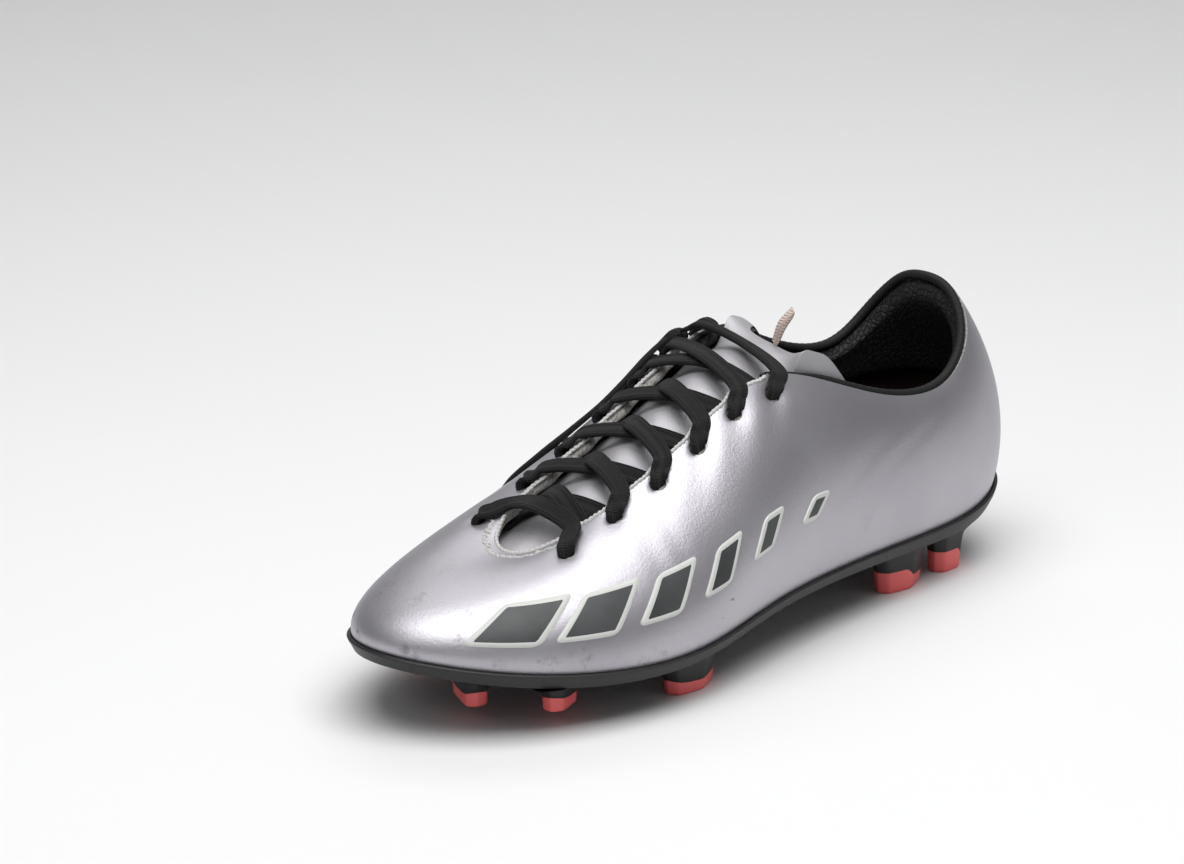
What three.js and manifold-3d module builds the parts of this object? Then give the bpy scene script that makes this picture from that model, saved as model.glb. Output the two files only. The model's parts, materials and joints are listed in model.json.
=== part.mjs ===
// A soccer cleat for the left foot, millimetres. +X points to the toe, +Y to the wearer's left (the
// outer, or lateral, side) and +Z up. The origin lies on the ground under the middle of the shoe.
import {
  Box3,
  BufferAttribute,
  BufferGeometry,
  CatmullRomCurve3,
  CylinderGeometry,
  Group,
  MathUtils,
  Matrix4,
  Mesh,
  MeshStandardMaterial,
  Quaternion,
  Vector3,
} from "three";
import { LoftGeometry } from "three/addons/geometries/LoftGeometry.js";
import { RoundedBoxGeometry } from "three/addons/geometries/RoundedBoxGeometry.js";
import { mergeVertices } from "three/addons/utils/BufferGeometryUtils.js";
import Module from "manifold-3d";

// ---- Driving dimensions ----

// The last, the foot-shaped form that the shoe is built on.
const LAST_LENGTH = 276;
const LAST_WIDTH = 98;
const UPPER_HEIGHT = 80;
const TOE_SPRING = 11.5;
const HEEL_LIFT = 4;
const HEEL_CUP = 7;

// Walls, from the outside in.
const SEAM = 0.3;
const LAYER_GAP = 0.45;
const UPPER_WALL = 1.2;
const REINFORCEMENT_WALL = 0.7;
const LINING_WALL = 0.8;
const HEEL_PAD = 4;
const FILM_WALL = 0.5;
const PIPING_RADIUS = 1.5;

// The foot bed.
const BED_CLEARANCE = 1.9;
const LEAN_CLEARANCE = 1;
const BOARD_THICKNESS = 1.8;
const FOAM_THICKNESS = 3;
const COVER_THICKNESS = 0.8;

// The plate and its studs.
const PLATE_THICKNESS = 3.2;
const PLATE_RIM = 1.3;
const RIM_HEIGHT = 2.6;
const STUD_HEIGHT = 13;
const STUD_TIP_HEIGHT = 5;
const STUD_WIDTH = 11.5;
const STUD_TAPER = 0.86;

// The throat and its lace.
const EYELET_PAIRS = 6;
const EYELET_RADIUS = 2.7;
const EYELET_SETBACK = 7.5;
const FIRST_EYELET_SETBACK = 12;
const EYESTAY_WIDTH = 15;
const LACE_WIDTH = 6.4;
const LACE_THICKNESS = 1.6;
const LACE_WIDTH_IN_EYELET = 3.6;
const LACE_CLEARANCE = 0.7;
const KNOT_SIZE = [12, 9, 5.6];
const AGLET_LENGTH = 13;
const AGLET_RADIUS = 1.6;

// The tongue.
const TONGUE_WALL = 1.2;
const TONGUE_PAD = 2.4;
const TONGUE_UNDERLAP = 11;
const TAB_WIDTH = 8;
const TAB_HEIGHT = 12;
const TAB_THICKNESS = 0.8;

// ---- The shape of the last ----

// Stations go round from the heel's back along the lateral side to the toe and back along the medial
// side. Each holds the feather line, where the upper meets the plate (x, y), the low and the high point
// of the wall's bow, and the top line or throat edge (x, y and height over the plate's seat).
const DRAWN = { length: 276, width: 98, height: 80 };
const STATIONS = [
  [-141, 0, -148, 0, 29, -138, 0, 58, -116, 0, 80],
  [-134, 18, -142, 21, 28, -133, 17, 57, -116, 13, 78],
  [-112, 30, -116, 36, 28, -115, 31, 49, -110, 25, 64],
  [-80, 33, -80, 38, 26, -84, 35, 41, -92, 29, 49],
  [-45, 34, -45, 39, 26, -48, 37, 46, -60, 29, 53],
  [-10, 38, -10, 44, 24, -16, 39, 56, -28, 22, 68],
  [20, 43, 20, 50, 22, 10, 40, 50, -5, 18, 72],
  [45, 48, 45, 54, 17, 34, 41, 40, 19, 19, 61],
  [72, 47, 72, 52, 16, 59, 38, 33, 43, 19, 50],
  [100, 38, 101, 42, 16, 87, 31, 29, 66, 16, 39],
  [124, 21, 128, 24, 17, 110, 18, 27, 81, 9, 31],
  [138, -4, 144, -4, 19, 122, -2, 27, 85, -1, 29],
  [128, -27, 132, -30, 18, 112, -21, 28, 81, -10, 32],
  [102, -42, 104, -46, 17, 89, -33, 31, 66, -13, 40],
  [74, -48, 75, -52, 17, 61, -39, 35, 43, -12, 50],
  [45, -42, 45, -49, 20, 34, -39, 43, 19, -13, 61],
  [18, -33, 18, -41, 24, 10, -37, 53, -5, -15, 72],
  [-12, -27, -12, -35, 27, -16, -35, 59, -30, -22, 77],
  [-45, -27, -45, -34, 28, -48, -35, 50, -60, -28, 61],
  [-80, -29, -80, -35, 27, -84, -34, 44, -92, -27, 51],
  [-112, -28, -116, -34, 28, -115, -30, 50, -110, -24, 63],
  [-134, -17, -142, -20, 28, -133, -16, 57, -116, -12, 78],
];
const THROAT_FOOT = 0.452; // how far round the lateral side the throat starts, and where it ends
const THROAT_TOP = 0.243;
const FIRST_EYELET = 0.421;
const LAST_EYELET = 0.2575;

const scaleX = LAST_LENGTH / DRAWN.length;
const scaleY = LAST_WIDTH / DRAWN.width;
const scaleZ = UPPER_HEIGHT / DRAWN.height;
const { clamp, lerp, smoothstep } = MathUtils;

// Height of the plate's seat: low under the ball, up a little to the heel, and up at both ends.
function seatHeight(x) {
  const drawn = x / scaleX;
  const toe = Math.max(0, (drawn - 60) / 85) ** 2;
  const back = Math.max(0, (-90 - drawn) / 55) ** 2;
  const rise = smoothstep(60 - drawn, 0, 70) - 0.35 * smoothstep(-10 - drawn, 0, 90);
  return STUD_HEIGHT + PLATE_THICKNESS + TOE_SPRING * toe + HEEL_LIFT * rise + HEEL_CUP * back;
}

// The closed uniform cubic B-spline through the stations at p, which goes from 0 to 1 round the shoe.
function stationAt(p) {
  const count = STATIONS.length;
  const u = (((p % 1) + 1) % 1) * count;
  const i = Math.floor(u);
  const t = u - i;
  const weights = [
    (1 - t) ** 3 / 6,
    (3 * t ** 3 - 6 * t ** 2 + 4) / 6,
    (-3 * t ** 3 + 3 * t ** 2 + 3 * t + 1) / 6,
    t ** 3 / 6,
  ];
  return STATIONS[0].map((_, column) =>
    weights.reduce((sum, w, k) => sum + w * STATIONS[(i - 1 + k + count) % count][column], 0),
  );
}

// A point of the upper's outer face: p goes round the shoe, q up the wall from 0 to 1.
function onLast(p, q) {
  const s = stationAt(p);
  const seat = STUD_HEIGHT + PLATE_THICKNESS;
  const foot = new Vector3(s[0] * scaleX, s[1] * scaleY, seatHeight(s[0] * scaleX));
  const low = new Vector3(s[2] * scaleX, s[3] * scaleY, s[4] * scaleZ + seat);
  const high = new Vector3(s[5] * scaleX, s[6] * scaleY, s[7] * scaleZ + seat);
  const edge = new Vector3(s[8] * scaleX, s[9] * scaleY, s[10] * scaleZ + seat);
  return foot
    .multiplyScalar((1 - q) ** 3)
    .addScaledVector(low, 3 * q * (1 - q) ** 2)
    .addScaledVector(high, 3 * q * q * (1 - q))
    .addScaledVector(edge, q ** 3);
}

function outwardNormal(p, q) {
  const step = 1e-4;
  const around = onLast(p + step, q).sub(onLast(p - step, q));
  const up = onLast(p, Math.min(1, q + 5 * step)).sub(onLast(p, Math.max(0, q - 5 * step)));
  return new Vector3().crossVectors(up, around).normalize();
}

// A point at a depth inside the outer face; a negative depth lies outside it.
function inside(p, q, depth) {
  return onLast(p, q).addScaledVector(outwardNormal(p, q), -depth);
}

// The q that lies a distance down the wall from its top edge.
function belowEdge(p, distance) {
  const edge = onLast(p, 1);
  let low = 0.3;
  let high = 1;
  for (let i = 0; i < 24; i++) {
    const q = (low + high) / 2;
    if (onLast(p, q).distanceTo(edge) > distance) low = q;
    else high = q;
  }
  return (low + high) / 2;
}

// Depths of the layers.
const REINFORCEMENT_DEPTH = UPPER_WALL + LAYER_GAP;
const LINING_DEPTH = REINFORCEMENT_DEPTH + REINFORCEMENT_WALL + LAYER_GAP;
const LINING_FACE = LINING_DEPTH + LINING_WALL;
const TONGUE_DEPTH = LINING_FACE + LACE_THICKNESS + 2 * LACE_CLEARANCE;

// ---- Solids ----

const wasm = await Module();
wasm.setup();

function toSolid(geometry) {
  const plain = new BufferGeometry();
  plain.setAttribute("position", geometry.getAttribute("position"));
  plain.setIndex(geometry.getIndex());
  const merged = mergeVertices(plain, 1e-4);
  return new wasm.Manifold(
    new wasm.Mesh({
      numProp: 3,
      vertProperties: merged.attributes.position.array,
      triVerts: new Uint32Array(merged.index.array),
    }),
  );
}

function toGeometry(solid) {
  const mesh = solid.getMesh();
  const geometry = new BufferGeometry();
  geometry.setAttribute("position", new BufferAttribute(mesh.vertProperties, 3));
  geometry.setIndex(new BufferAttribute(mesh.triVerts, 1));
  geometry.computeVertexNormals();
  return geometry;
}

// The signed volume inside a closed geometry, positive where its faces point outwards.
function signedVolume(geometry) {
  const { index, attributes } = geometry;
  const corner = (i) => new Vector3().fromBufferAttribute(attributes.position, index.getX(i));
  let sum = 0;
  for (let i = 0; i < index.count; i += 3) sum += corner(i).dot(corner(i + 1).cross(corner(i + 2)));
  return sum / 6;
}

// A loft with its faces turned outwards, whichever way its sections were drawn: a capped one has its
// sections turn counterclockwise about the way it runs.
function loft(sections, options = { capStart: true, capEnd: true }) {
  const turned = sections.map((section) => [...section].reverse());
  if (!options.capStart) {
    const geometry = new LoftGeometry(sections, options);
    return signedVolume(geometry) > 0 ? geometry : new LoftGeometry(turned, options);
  }
  const centre = (section) =>
    section.reduce((sum, v) => sum.add(v), new Vector3()).divideScalar(section.length);
  let turning = 0;
  for (let i = 0; i < sections.length - 1; i++) {
    const middle = centre(sections[i]);
    const way = centre(sections[i + 1]).sub(middle);
    sections[i].forEach((v, j) => {
      const next = sections[i][(j + 1) % sections[i].length];
      turning += v.clone().sub(middle).cross(next.clone().sub(middle)).dot(way);
    });
  }
  return new LoftGeometry(turning > 0 ? sections : turned, options);
}

// Every wall is divided at the same places round the shoe, so that its layers nest.
const AROUND = 72;
const allRound = Array.from({ length: AROUND }, (_, i) => i / AROUND);
const placesBetween = (from, to) =>
  Array.from(
    { length: Math.round((to - from) * AROUND) + 1 },
    (_, i) => (Math.round(from * AROUND) + i) / AROUND,
  );

const spread = (count, from = 0, to = 1) =>
  Array.from({ length: count }, (_, i) => lerp(from, to, i / (count - 1)));

// A wall all the way round the shoe, from qLow to qHigh, between two depths.
function wallRing(qLow, qHigh, outer, inner, up) {
  const row = (q, depth) => allRound.map((p) => inside(p, q, depth));
  const heights = spread(up, qLow, qHigh);
  const sections = [
    ...heights.map((q) => row(q, outer)),
    ...heights.map((q) => row(q, inner)).reverse(),
  ];
  return loft([...sections, sections[0]], {});
}

// A sheet on the last: place(a, b) gives [p, q] for a along it, at each of the steps, and b across it.
function sheet(place, outer, inner, steps, across) {
  const depthOf = (depth, a) => (typeof depth === "function" ? depth(a) : depth);
  return loft(
    steps.map((a) => {
      const face = (depth) =>
        spread(across).map((b) => inside(...place(a, b), depthOf(depth, a)));
      return [...face(outer), ...face(inner).reverse()];
    }),
  );
}

// A band between two places round the shoe, with its own low and high edge.
function band(from, to, qLow, qHigh, outer, inner, across) {
  const places = placesBetween(from, to);
  const steps = spread(places.length);
  const place = (a, b) => {
    const p = places[Math.round(a * (places.length - 1))];
    return [p, lerp(qLow(p, a), qHigh(p, a), b)];
  };
  return sheet(place, outer, inner, steps, across);
}

// The seat's edge at p, and the unit direction from there to the shoe's inside.
function seatEdge(p) {
  const step = 1e-4;
  const x = (v) => stationAt(v)[0] * scaleX;
  const y = (v) => stationAt(v)[1] * scaleY;
  const inwards = new Vector3(y(p + step) - y(p - step), x(p - step) - x(p + step), 0).normalize();
  return { at: new Vector3(x(p), y(p), 0), inwards };
}

// The outline of the seat, drawn in by an inset and shrunk by s to the foot's centreline.
function seatPoint(p, s, inset) {
  const edge = (v) => seatEdge(v).at.addScaledVector(seatEdge(v).inwards, inset);
  const here = edge(p);
  const middle = edge(1 - p).add(here).multiplyScalar(0.5);
  middle.x *= 0.82;
  return middle.lerp(here, s);
}

// How far in from the seat's edge the lining reaches, below a height over the seat.
function liningReach(p, height) {
  const { at, inwards } = seatEdge(p);
  const reaches = spread(48, 0, 0.9).map((q) => {
    const wall = inside(p, q, LINING_FACE);
    return wall.z - seatHeight(wall.x) < height ? wall.setZ(0).sub(at).dot(inwards) : 0;
  });
  return Math.max(...reaches);
}

// A flat layer of the foot bed, between two heights over the seat. It is drawn in further where the
// lining leans over it.
function bedLayer(inset, bottom, top) {
  const insets = allRound.map((p) =>
    Math.max(inset, liningReach(p, top + LAYER_GAP) + LEAN_CLEARANCE),
  );
  const row = (s, height) =>
    allRound.map((p, i) => {
      const point = seatPoint(p, s, Math.max(insets[i], insets[(AROUND - i) % AROUND]));
      point.z = seatHeight(point.x) + height;
      return point;
    });
  const shares = [0, 1];
  const sections = [
    ...shares.map((s) => row(s, top)),
    ...shares.map((s) => row(s, bottom)).reverse(),
  ];
  return loft(sections, {});
}

// A flat ribbon or round cord along points. Each point holds its place, the direction of its width, and
// its width and thickness; corners rounds the section.
function ribbon(stops, perStop, sides = 6) {
  const curve = new CatmullRomCurve3(
    stops.map((s) => s.at),
    false,
    "centripetal",
  );
  const count = (stops.length - 1) * perStop + 1;
  const sections = spread(count).map((t) => {
    const at = t * (stops.length - 1);
    const i = Math.min(stops.length - 2, Math.floor(at));
    const mix = at - i;
    const tangent = curve.getTangent(t);
    const wide = stops[i].wide.clone().lerp(stops[i + 1].wide, mix);
    wide.addScaledVector(tangent, -wide.dot(tangent)).normalize();
    const thick = new Vector3().crossVectors(tangent, wide);
    const width = lerp(stops[i].width, stops[i + 1].width, mix) / 2;
    const thickness = lerp(stops[i].thickness, stops[i + 1].thickness, mix) / 2;
    const centre = curve.getPoint(t);
    return spread(sides + 1)
      .slice(1)
      .map((turn) => {
        const angle = 2 * Math.PI * turn;
        const c = Math.cos(angle);
        const s = Math.sin(angle);
        const squarer = (v) => Math.sign(v) * Math.abs(v) ** 0.7;
        return centre
          .clone()
          .addScaledVector(wide, width * squarer(c))
          .addScaledVector(thick, thickness * squarer(s));
      });
  });
  return loft(sections);
}

// ---- The upper and what stiffens it ----

const eyelets = Array.from({ length: EYELET_PAIRS }, (_, k) => {
  const p = lerp(FIRST_EYELET, LAST_EYELET, k / (EYELET_PAIRS - 1));
  const setback = k === 0 ? FIRST_EYELET_SETBACK : EYELET_SETBACK;
  return [p, 1 - p].map((side) => ({ p: side, q: belowEdge(side, setback) }));
});

// The punches that cut every eyelet through all the layers.
const punches = eyelets.flat().map(({ p, q }) => {
  const punch = new CylinderGeometry(EYELET_RADIUS, EYELET_RADIUS, 3 * LINING_FACE, 10);
  const turn = new Quaternion().setFromUnitVectors(new Vector3(0, 1, 0), outwardNormal(p, q));
  const place = inside(p, q, LINING_FACE / 2);
  punch.applyMatrix4(new Matrix4().compose(place, turn, new Vector3(1, 1, 1)));
  return toSolid(punch);
});

function punched(geometry) {
  return toGeometry(punches.reduce((solid, punch) => solid.subtract(punch), toSolid(geometry)));
}

const upper = punched(wallRing(0, 1, 0, UPPER_WALL, 8));
const lining = punched(wallRing(0.03, 0.985, LINING_DEPTH, LINING_FACE, 6));

const stiffener = [REINFORCEMENT_DEPTH, REINFORCEMENT_DEPTH + REINFORCEMENT_WALL];
function eyestay(from, to) {
  const low = (p) => belowEdge(p, EYESTAY_WIDTH);
  const high = (p) => belowEdge(p, 1.5);
  return punched(band(from, to, low, high, ...stiffener, 4));
}
const heelCounter = band(
  -0.17,
  0.17,
  () => 0.04,
  (p, a) => 0.25 + 0.4 * Math.sin(Math.PI * a),
  ...stiffener,
  5,
);
const toePuff = band(
  0.4,
  0.6,
  () => 0.04,
  (p, a) => 0.15 + 0.35 * Math.sin(Math.PI * a),
  ...stiffener,
  4,
);

// ---- The collar ----

const COLLAR_END = 0.225;
const padFront = LINING_FACE + 2 * SEAM;
const padDepth = (a) => padFront + lerp(0.7, HEEL_PAD, Math.sin(Math.PI * a) ** 0.8);
const collarPad = band(
  -COLLAR_END,
  COLLAR_END,
  (p, a) => 0.86 - 0.36 * Math.sin(Math.PI * a),
  () => 0.975,
  padFront,
  padDepth,
  5,
);
const piping = ribbon(
  placesBetween(-COLLAR_END, COLLAR_END).map((p) => {
    const at = inside(p, 1, LINING_FACE / 2);
    const up = onLast(p, 1).sub(onLast(p, 0.97)).normalize();
    const wide = onLast(p, 1).sub(inside(p, 1, 1));
    at.addScaledVector(up, PIPING_RADIUS + LAYER_GAP + 0.1);
    return { at, wide, width: 2.2 * PIPING_RADIUS, thickness: 2 * PIPING_RADIUS };
  }),
  1,
  8,
);

// ---- The foot bed ----

const bedInset = LINING_FACE + BED_CLEARANCE;
const boardTop = LAYER_GAP + BOARD_THICKNESS;
const foamBottom = boardTop + LAYER_GAP;
const coverBottom = foamBottom + FOAM_THICKNESS + LAYER_GAP;
const insoleBoard = bedLayer(bedInset, LAYER_GAP, boardTop);
const sockFoam = bedLayer(bedInset, foamBottom, foamBottom + FOAM_THICKNESS);
const sockCover = bedLayer(bedInset, coverBottom, coverBottom + COVER_THICKNESS);

// ---- The plate and the studs ----

// Each stud: its place, the direction its blade points, its length, and how high its foot stands off
// the ground: the toe curves up, and its studs are short.
const STUDS = [
  { name: "stud_tip_toe_lateral", x: 106, y: 6, turn: 64, length: 19, lift: 6 },
  { name: "stud_tip_toe_medial", x: 85, y: -31, turn: -40, length: 22, lift: 5 },
  { name: "stud_tip_front_lateral", x: 87, y: 25, turn: 34, length: 25, lift: 5 },
  { name: "stud_tip_front_medial", x: 62, y: -36, turn: -12, length: 22, lift: 2 },
  { name: "stud_tip_ball_lateral", x: 41, y: 36, turn: 8, length: 25, lift: 0 },
  { name: "stud_tip_ball_medial", x: 36, y: -29, turn: -14, length: 24, lift: 0 },
  { name: "stud_tip_ball_centre", x: 62, y: -2, turn: 0, length: 17, lift: 2 },
  { name: "stud_tip_heel_front_lateral", x: -76, y: 23, turn: 6, length: 25, lift: 0 },
  { name: "stud_tip_heel_front_medial", x: -76, y: -19, turn: -6, length: 25, lift: 0 },
  { name: "stud_tip_heel_rear_lateral", x: -103, y: 21, turn: 22, length: 20, lift: 0 },
  { name: "stud_tip_heel_rear_medial", x: -103, y: -17, turn: -22, length: 20, lift: 0 },
];
// The blade in plan: along it, and across it with the ridge on the outer side.
const BLADE = [
  [-0.5, -0.1],
  [-0.4, -0.42],
  [0.4, -0.42],
  [0.5, -0.1],
  [0.42, 0.24],
  [0, 0.5],
  [-0.42, 0.24],
];

function bladeSection(stud, z, grow) {
  const side = Math.sign(stud.y * scaleY + 5) || 1;
  const angle = MathUtils.degToRad(stud.turn);
  return BLADE.map(([u, v]) => {
    const along = u * stud.length * grow;
    const across = v * STUD_WIDTH * grow * side;
    return new Vector3(
      stud.x * scaleX + along * Math.cos(angle) - across * Math.sin(angle),
      stud.y * scaleY + along * Math.sin(angle) + across * Math.cos(angle),
      z,
    );
  });
}

const studGrow = (rise) => lerp(STUD_TAPER, 1, rise / STUD_HEIGHT);
const studTip = (stud) =>
  loft(
    [0, STUD_TIP_HEIGHT].map((rise) => bladeSection(stud, stud.lift + rise, studGrow(rise))),
  );
function studStem(stud) {
  const foot = stud.lift + STUD_TIP_HEIGHT + SEAM;
  const top = seatHeight(stud.x * scaleX) - PLATE_THICKNESS / 2;
  return loft(
    [foot, lerp(foot, top, 0.6), top].map((z, i) =>
      bladeSection(stud, z, studGrow(z - stud.lift) * [1, 1, 1.25][i]),
    ),
  );
}

// How high the plate's rim laps up the wall: most at the toe and the heel.
function rimShare(p) {
  const ends = Math.cos(2 * Math.PI * p) ** 2;
  return (RIM_HEIGHT * (0.35 + 0.65 * ends)) / (0.8 * UPPER_HEIGHT);
}

function plateSkin() {
  const flat = (s, inset, height) =>
    allRound.map((p) => {
      const point = seatPoint(p, s, inset);
      point.z = seatHeight(point.x) + height;
      return point;
    });
  const lap = (share, out) => allRound.map((p) => inside(p, share * rimShare(p), -out));
  return loft(
    [
      flat(0, 0, -SEAM),
      flat(1, 0, -SEAM),
      lap(0, SEAM),
      lap(0.5, SEAM),
      lap(1, SEAM),
      lap(1, SEAM + PLATE_RIM / 2),
      lap(0.4, SEAM + PLATE_RIM),
      flat(1, -PLATE_RIM - SEAM, -SEAM),
      flat(1, 0, -PLATE_THICKNESS),
      flat(0, 0, -PLATE_THICKNESS),
    ],
    {},
  );
}
const plate = toGeometry(
  STUDS.reduce((solid, stud) => solid.add(toSolid(studStem(stud))), toSolid(plateSkin())),
);

// ---- The tongue ----

// The throat at u, from 0 at its foot to 1 at its top; past 1 the tongue runs on inside the collar.
const TONGUE_END = 1.3;
const CROWN_RISE = 6;
const TAB_AT = 1.14;
const TAB_LEAN = 0.6;
const throatP = (u) => lerp(THROAT_FOOT, THROAT_TOP, u);

// Height of the tongue's middle over the line between the two throat edges.
function crown(u) {
  return lerp(1.5, 4, clamp(u, 0, 1)) + CROWN_RISE * smoothstep(u, 0.92, TONGUE_END);
}

function tonguePoints(u, depth, count) {
  const p = throatP(u);
  const past = smoothstep(u, 0.9, 1.12);
  const reach = lerp(TONGUE_UNDERLAP, 4, past);
  const sideDepth = TONGUE_DEPTH + 1.6 * past;
  const flank = (at, share) => inside(at, belowEdge(at, reach * share + 0.01), sideDepth + depth);
  const middle = onLast(p, 1).add(onLast(1 - p, 1)).multiplyScalar(0.5);
  const rise = new Vector3(0.35, 0, 1).normalize();
  middle.addScaledVector(rise, crown(u) - TONGUE_DEPTH * 0.6 - depth);
  const through = [
    flank(p, 1),
    flank(p, 0.5),
    flank(p, 0),
    middle,
    flank(1 - p, 0),
    flank(1 - p, 0.5),
    flank(1 - p, 1),
  ];
  return new CatmullRomCurve3(through, false, "centripetal").getPoints(count - 1);
}

function tongueLayer(from, to, outer, inner, along = 16, across = 13) {
  return loft(
    spread(along, from, to).map((u) => [
      ...tonguePoints(u, outer, across),
      ...tonguePoints(u, inner, across).reverse(),
    ]),
  );
}

const tongue = tongueLayer(0.03, TONGUE_END, 0, TONGUE_WALL);
const padFace = TONGUE_WALL + 2 * LAYER_GAP;
const tonguePad = tongueLayer(0.08, TONGUE_END - 0.02, padFace, padFace + TONGUE_PAD);

const tabFoot = tonguePoints(TAB_AT, 0, 3)[1];
const tab = new RoundedBoxGeometry(TAB_THICKNESS, TAB_WIDTH, TAB_HEIGHT, 1, TAB_THICKNESS / 3);
tab.translate(0, 0, TAB_HEIGHT / 2);

// ---- The lace ----

const laceOver = SEAM + LACE_THICKNESS / 2 + 0.4;
const laceUnder = LINING_FACE + LACE_CLEARANCE + LACE_THICKNESS / 2;

// The direction along the throat, towards the toe.
function throatDirection(p) {
  const step = 0.01;
  const way = onLast(p + step, 1).sub(onLast(p - step, 1));
  return way.x > 0 ? way.normalize() : way.negate().normalize();
}

function laceStop(p, q, depth, width = LACE_WIDTH) {
  const thickness = (LACE_THICKNESS * LACE_WIDTH) / lerp(LACE_WIDTH, width, 0.5);
  return { at: inside(p, q, depth), wide: throatDirection(p), width, thickness };
}

// One pass through an eyelet: over the throat's edge, down through the hole, and back under the edge.
// The strands lean along the throat from the hole to the edge: over it by one share of the way to the
// next pair, under it by another.
function eyeletPass(k, side, leanOver, leanUnder) {
  const { p, q } = eyelets[k][side];
  const pitch = ((LAST_EYELET - FIRST_EYELET) / (EYELET_PAIRS - 1)) * (side ? -1 : 1);
  const near = belowEdge(p, 1.5);
  const half = lerp(q, 1, 0.45);
  const over = (share) => p + share * leanOver * pitch;
  const under = (share) => p + share * leanUnder * pitch;
  return [
    laceStop(over(1), near, -laceOver - 0.4),
    laceStop(over(0.5), half, -laceOver, 5.4),
    laceStop(p, lerp(q, 1, 0.08), -laceOver + 0.4, 4.4),
    laceStop(p, q, LINING_FACE / 2, LACE_WIDTH_IN_EYELET),
    laceStop(p, lerp(q, 1, 0.08), laceUnder - 0.2, 4.4),
    laceStop(under(0.5), half, laceUnder, 5.4),
    laceStop(under(1), near, laceUnder),
  ];
}

// Where two strands cross over the middle of the throat, at a height over the tongue.
function crossing(k, lift) {
  const p = lerp(FIRST_EYELET, LAST_EYELET, (k + 0.5) / (EYELET_PAIRS - 1));
  const at = tonguePoints((p - THROAT_FOOT) / (THROAT_TOP - THROAT_FOOT), 0, 3)[1];
  at.addScaledVector(new Vector3(0.35, 0, 1).normalize(), lift);
  return { at, wide: throatDirection(p), width: LACE_WIDTH, thickness: LACE_THICKNESS };
}

const LOW = 2.6;
const HIGH = LOW + LACE_THICKNESS + 1;
const LACE_LEAN = 0.16;

// One end of the lace, from its first eyelet to the top. side 0 is the lateral side. The bar's ends and
// the last medial pass go down into their holes; between them the lace comes up out of each hole, lies
// over the edge, and crosses to the next pair under the other edge. A strand that leaves the lateral
// side lies on top where two cross.
function laceEnd(firstSide) {
  const stops = [];
  for (let k = 0; k < EYELET_PAIRS; k++) {
    const side = (firstSide + k) % 2;
    const lastMedial = k === EYELET_PAIRS - 1 && side === 1;
    if (k === 0) stops.push(...eyeletPass(k, side, 0, LACE_LEAN));
    else if (lastMedial) stops.push(...eyeletPass(k, side, -LACE_LEAN, LACE_LEAN));
    else stops.push(...eyeletPass(k, side, LACE_LEAN, -LACE_LEAN).reverse());
    if (k < EYELET_PAIRS - 1) stops.push(crossing(k, side ? LOW : HIGH));
  }
  return stops;
}

// The bow hangs on the medial wall, just below the throat's top. A place there is given by how far it
// lies behind the knot's middle, how far below the wall's edge, and its height off the wall.
const KNOT_P = 0.759;
const KNOT_DROP = 8;
// The wall's length for each unit of p beside the knot.
const wallRun = (() => {
  const q = belowEdge(KNOT_P, KNOT_DROP);
  return onLast(KNOT_P - 0.01, q).distanceTo(onLast(KNOT_P + 0.01, q)) / 0.02;
})();
const [KNOT_LENGTH, KNOT_HEIGHT, KNOT_DEPTH] = KNOT_SIZE;
const knotLift = 0.5 + KNOT_DEPTH / 2;
function onWall(back, drop, lift) {
  const p = KNOT_P + back / wallRun;
  return inside(p, belowEdge(p, drop), -lift);
}

// The ribbon lies flat on the wall: its width is square to both its run and the wall.
function wallRibbon(route, perStop) {
  const places = route.map(([back, drop, lift]) => onWall(back, drop, lift));
  const stops = places.map((at, i) => {
    const [back, drop, lift] = route[i];
    const out = onWall(back, drop, lift + 1).sub(onWall(back, drop, lift));
    const way = places[Math.min(i + 1, places.length - 1)].clone().sub(places[Math.max(i - 1, 0)]);
    const width = lerp(LACE_WIDTH_IN_EYELET + 0.6, LACE_WIDTH, clamp((4 - lift) / 2.4, 0, 1));
    return { at, wide: out.cross(way).normalize(), width, thickness: LACE_THICKNESS };
  });
  return ribbon(stops, perStop);
}

const knotAt = onWall(0, KNOT_DROP, knotLift);
const knotOut = outwardNormal(KNOT_P, belowEdge(KNOT_P, KNOT_DROP));
const knotAlong = onWall(-1, KNOT_DROP, knotLift).sub(onWall(1, KNOT_DROP, knotLift)).normalize();
const knotDown = new Vector3().crossVectors(knotOut, knotAlong).normalize();
knotAlong.crossVectors(knotDown, knotOut);
const knot = new RoundedBoxGeometry(KNOT_LENGTH, KNOT_HEIGHT, KNOT_DEPTH, 1, 2);
knot.applyMatrix4(new Matrix4().makeBasis(knotAlong, knotDown, knotOut).setPosition(knotAt));

// Where the two ends of the threaded lace run over the medial edge into the top of the knot.
function laceIntoKnot(back) {
  const narrow = LACE_WIDTH_IN_EYELET;
  const wide = knotAlong.clone();
  const thickness = LACE_THICKNESS;
  const top = KNOT_DROP - KNOT_HEIGHT / 2 - 4 * SEAM;
  return [
    { at: onWall(back, 0.1, 2.4), wide, width: narrow, thickness },
    { at: onWall(back, top, 3.4), wide, width: narrow, thickness },
  ];
}
function underTheEdge(back, reach, depth) {
  const p = KNOT_P + back / wallRun;
  const down = onLast(p, belowEdge(p, 2)).sub(onLast(p, 1)).normalize();
  const at = inside(p, 1, depth).addScaledVector(down, -reach);
  return { at, wide: throatDirection(p), width: 4.4, thickness: LACE_THICKNESS };
}
const lateralEnd = laceEnd(0);
const medialEnd = laceEnd(1);
const toKnot = (EYELET_PAIRS - 1) % 2;
const crossOver = { ...crossing(EYELET_PAIRS - 1, LOW + 0.6), width: 5.4 };
const acrossTop = [crossOver, underTheEdge(-3.4, 3.4, -1.6), ...laceIntoKnot(-3.4)];
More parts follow.
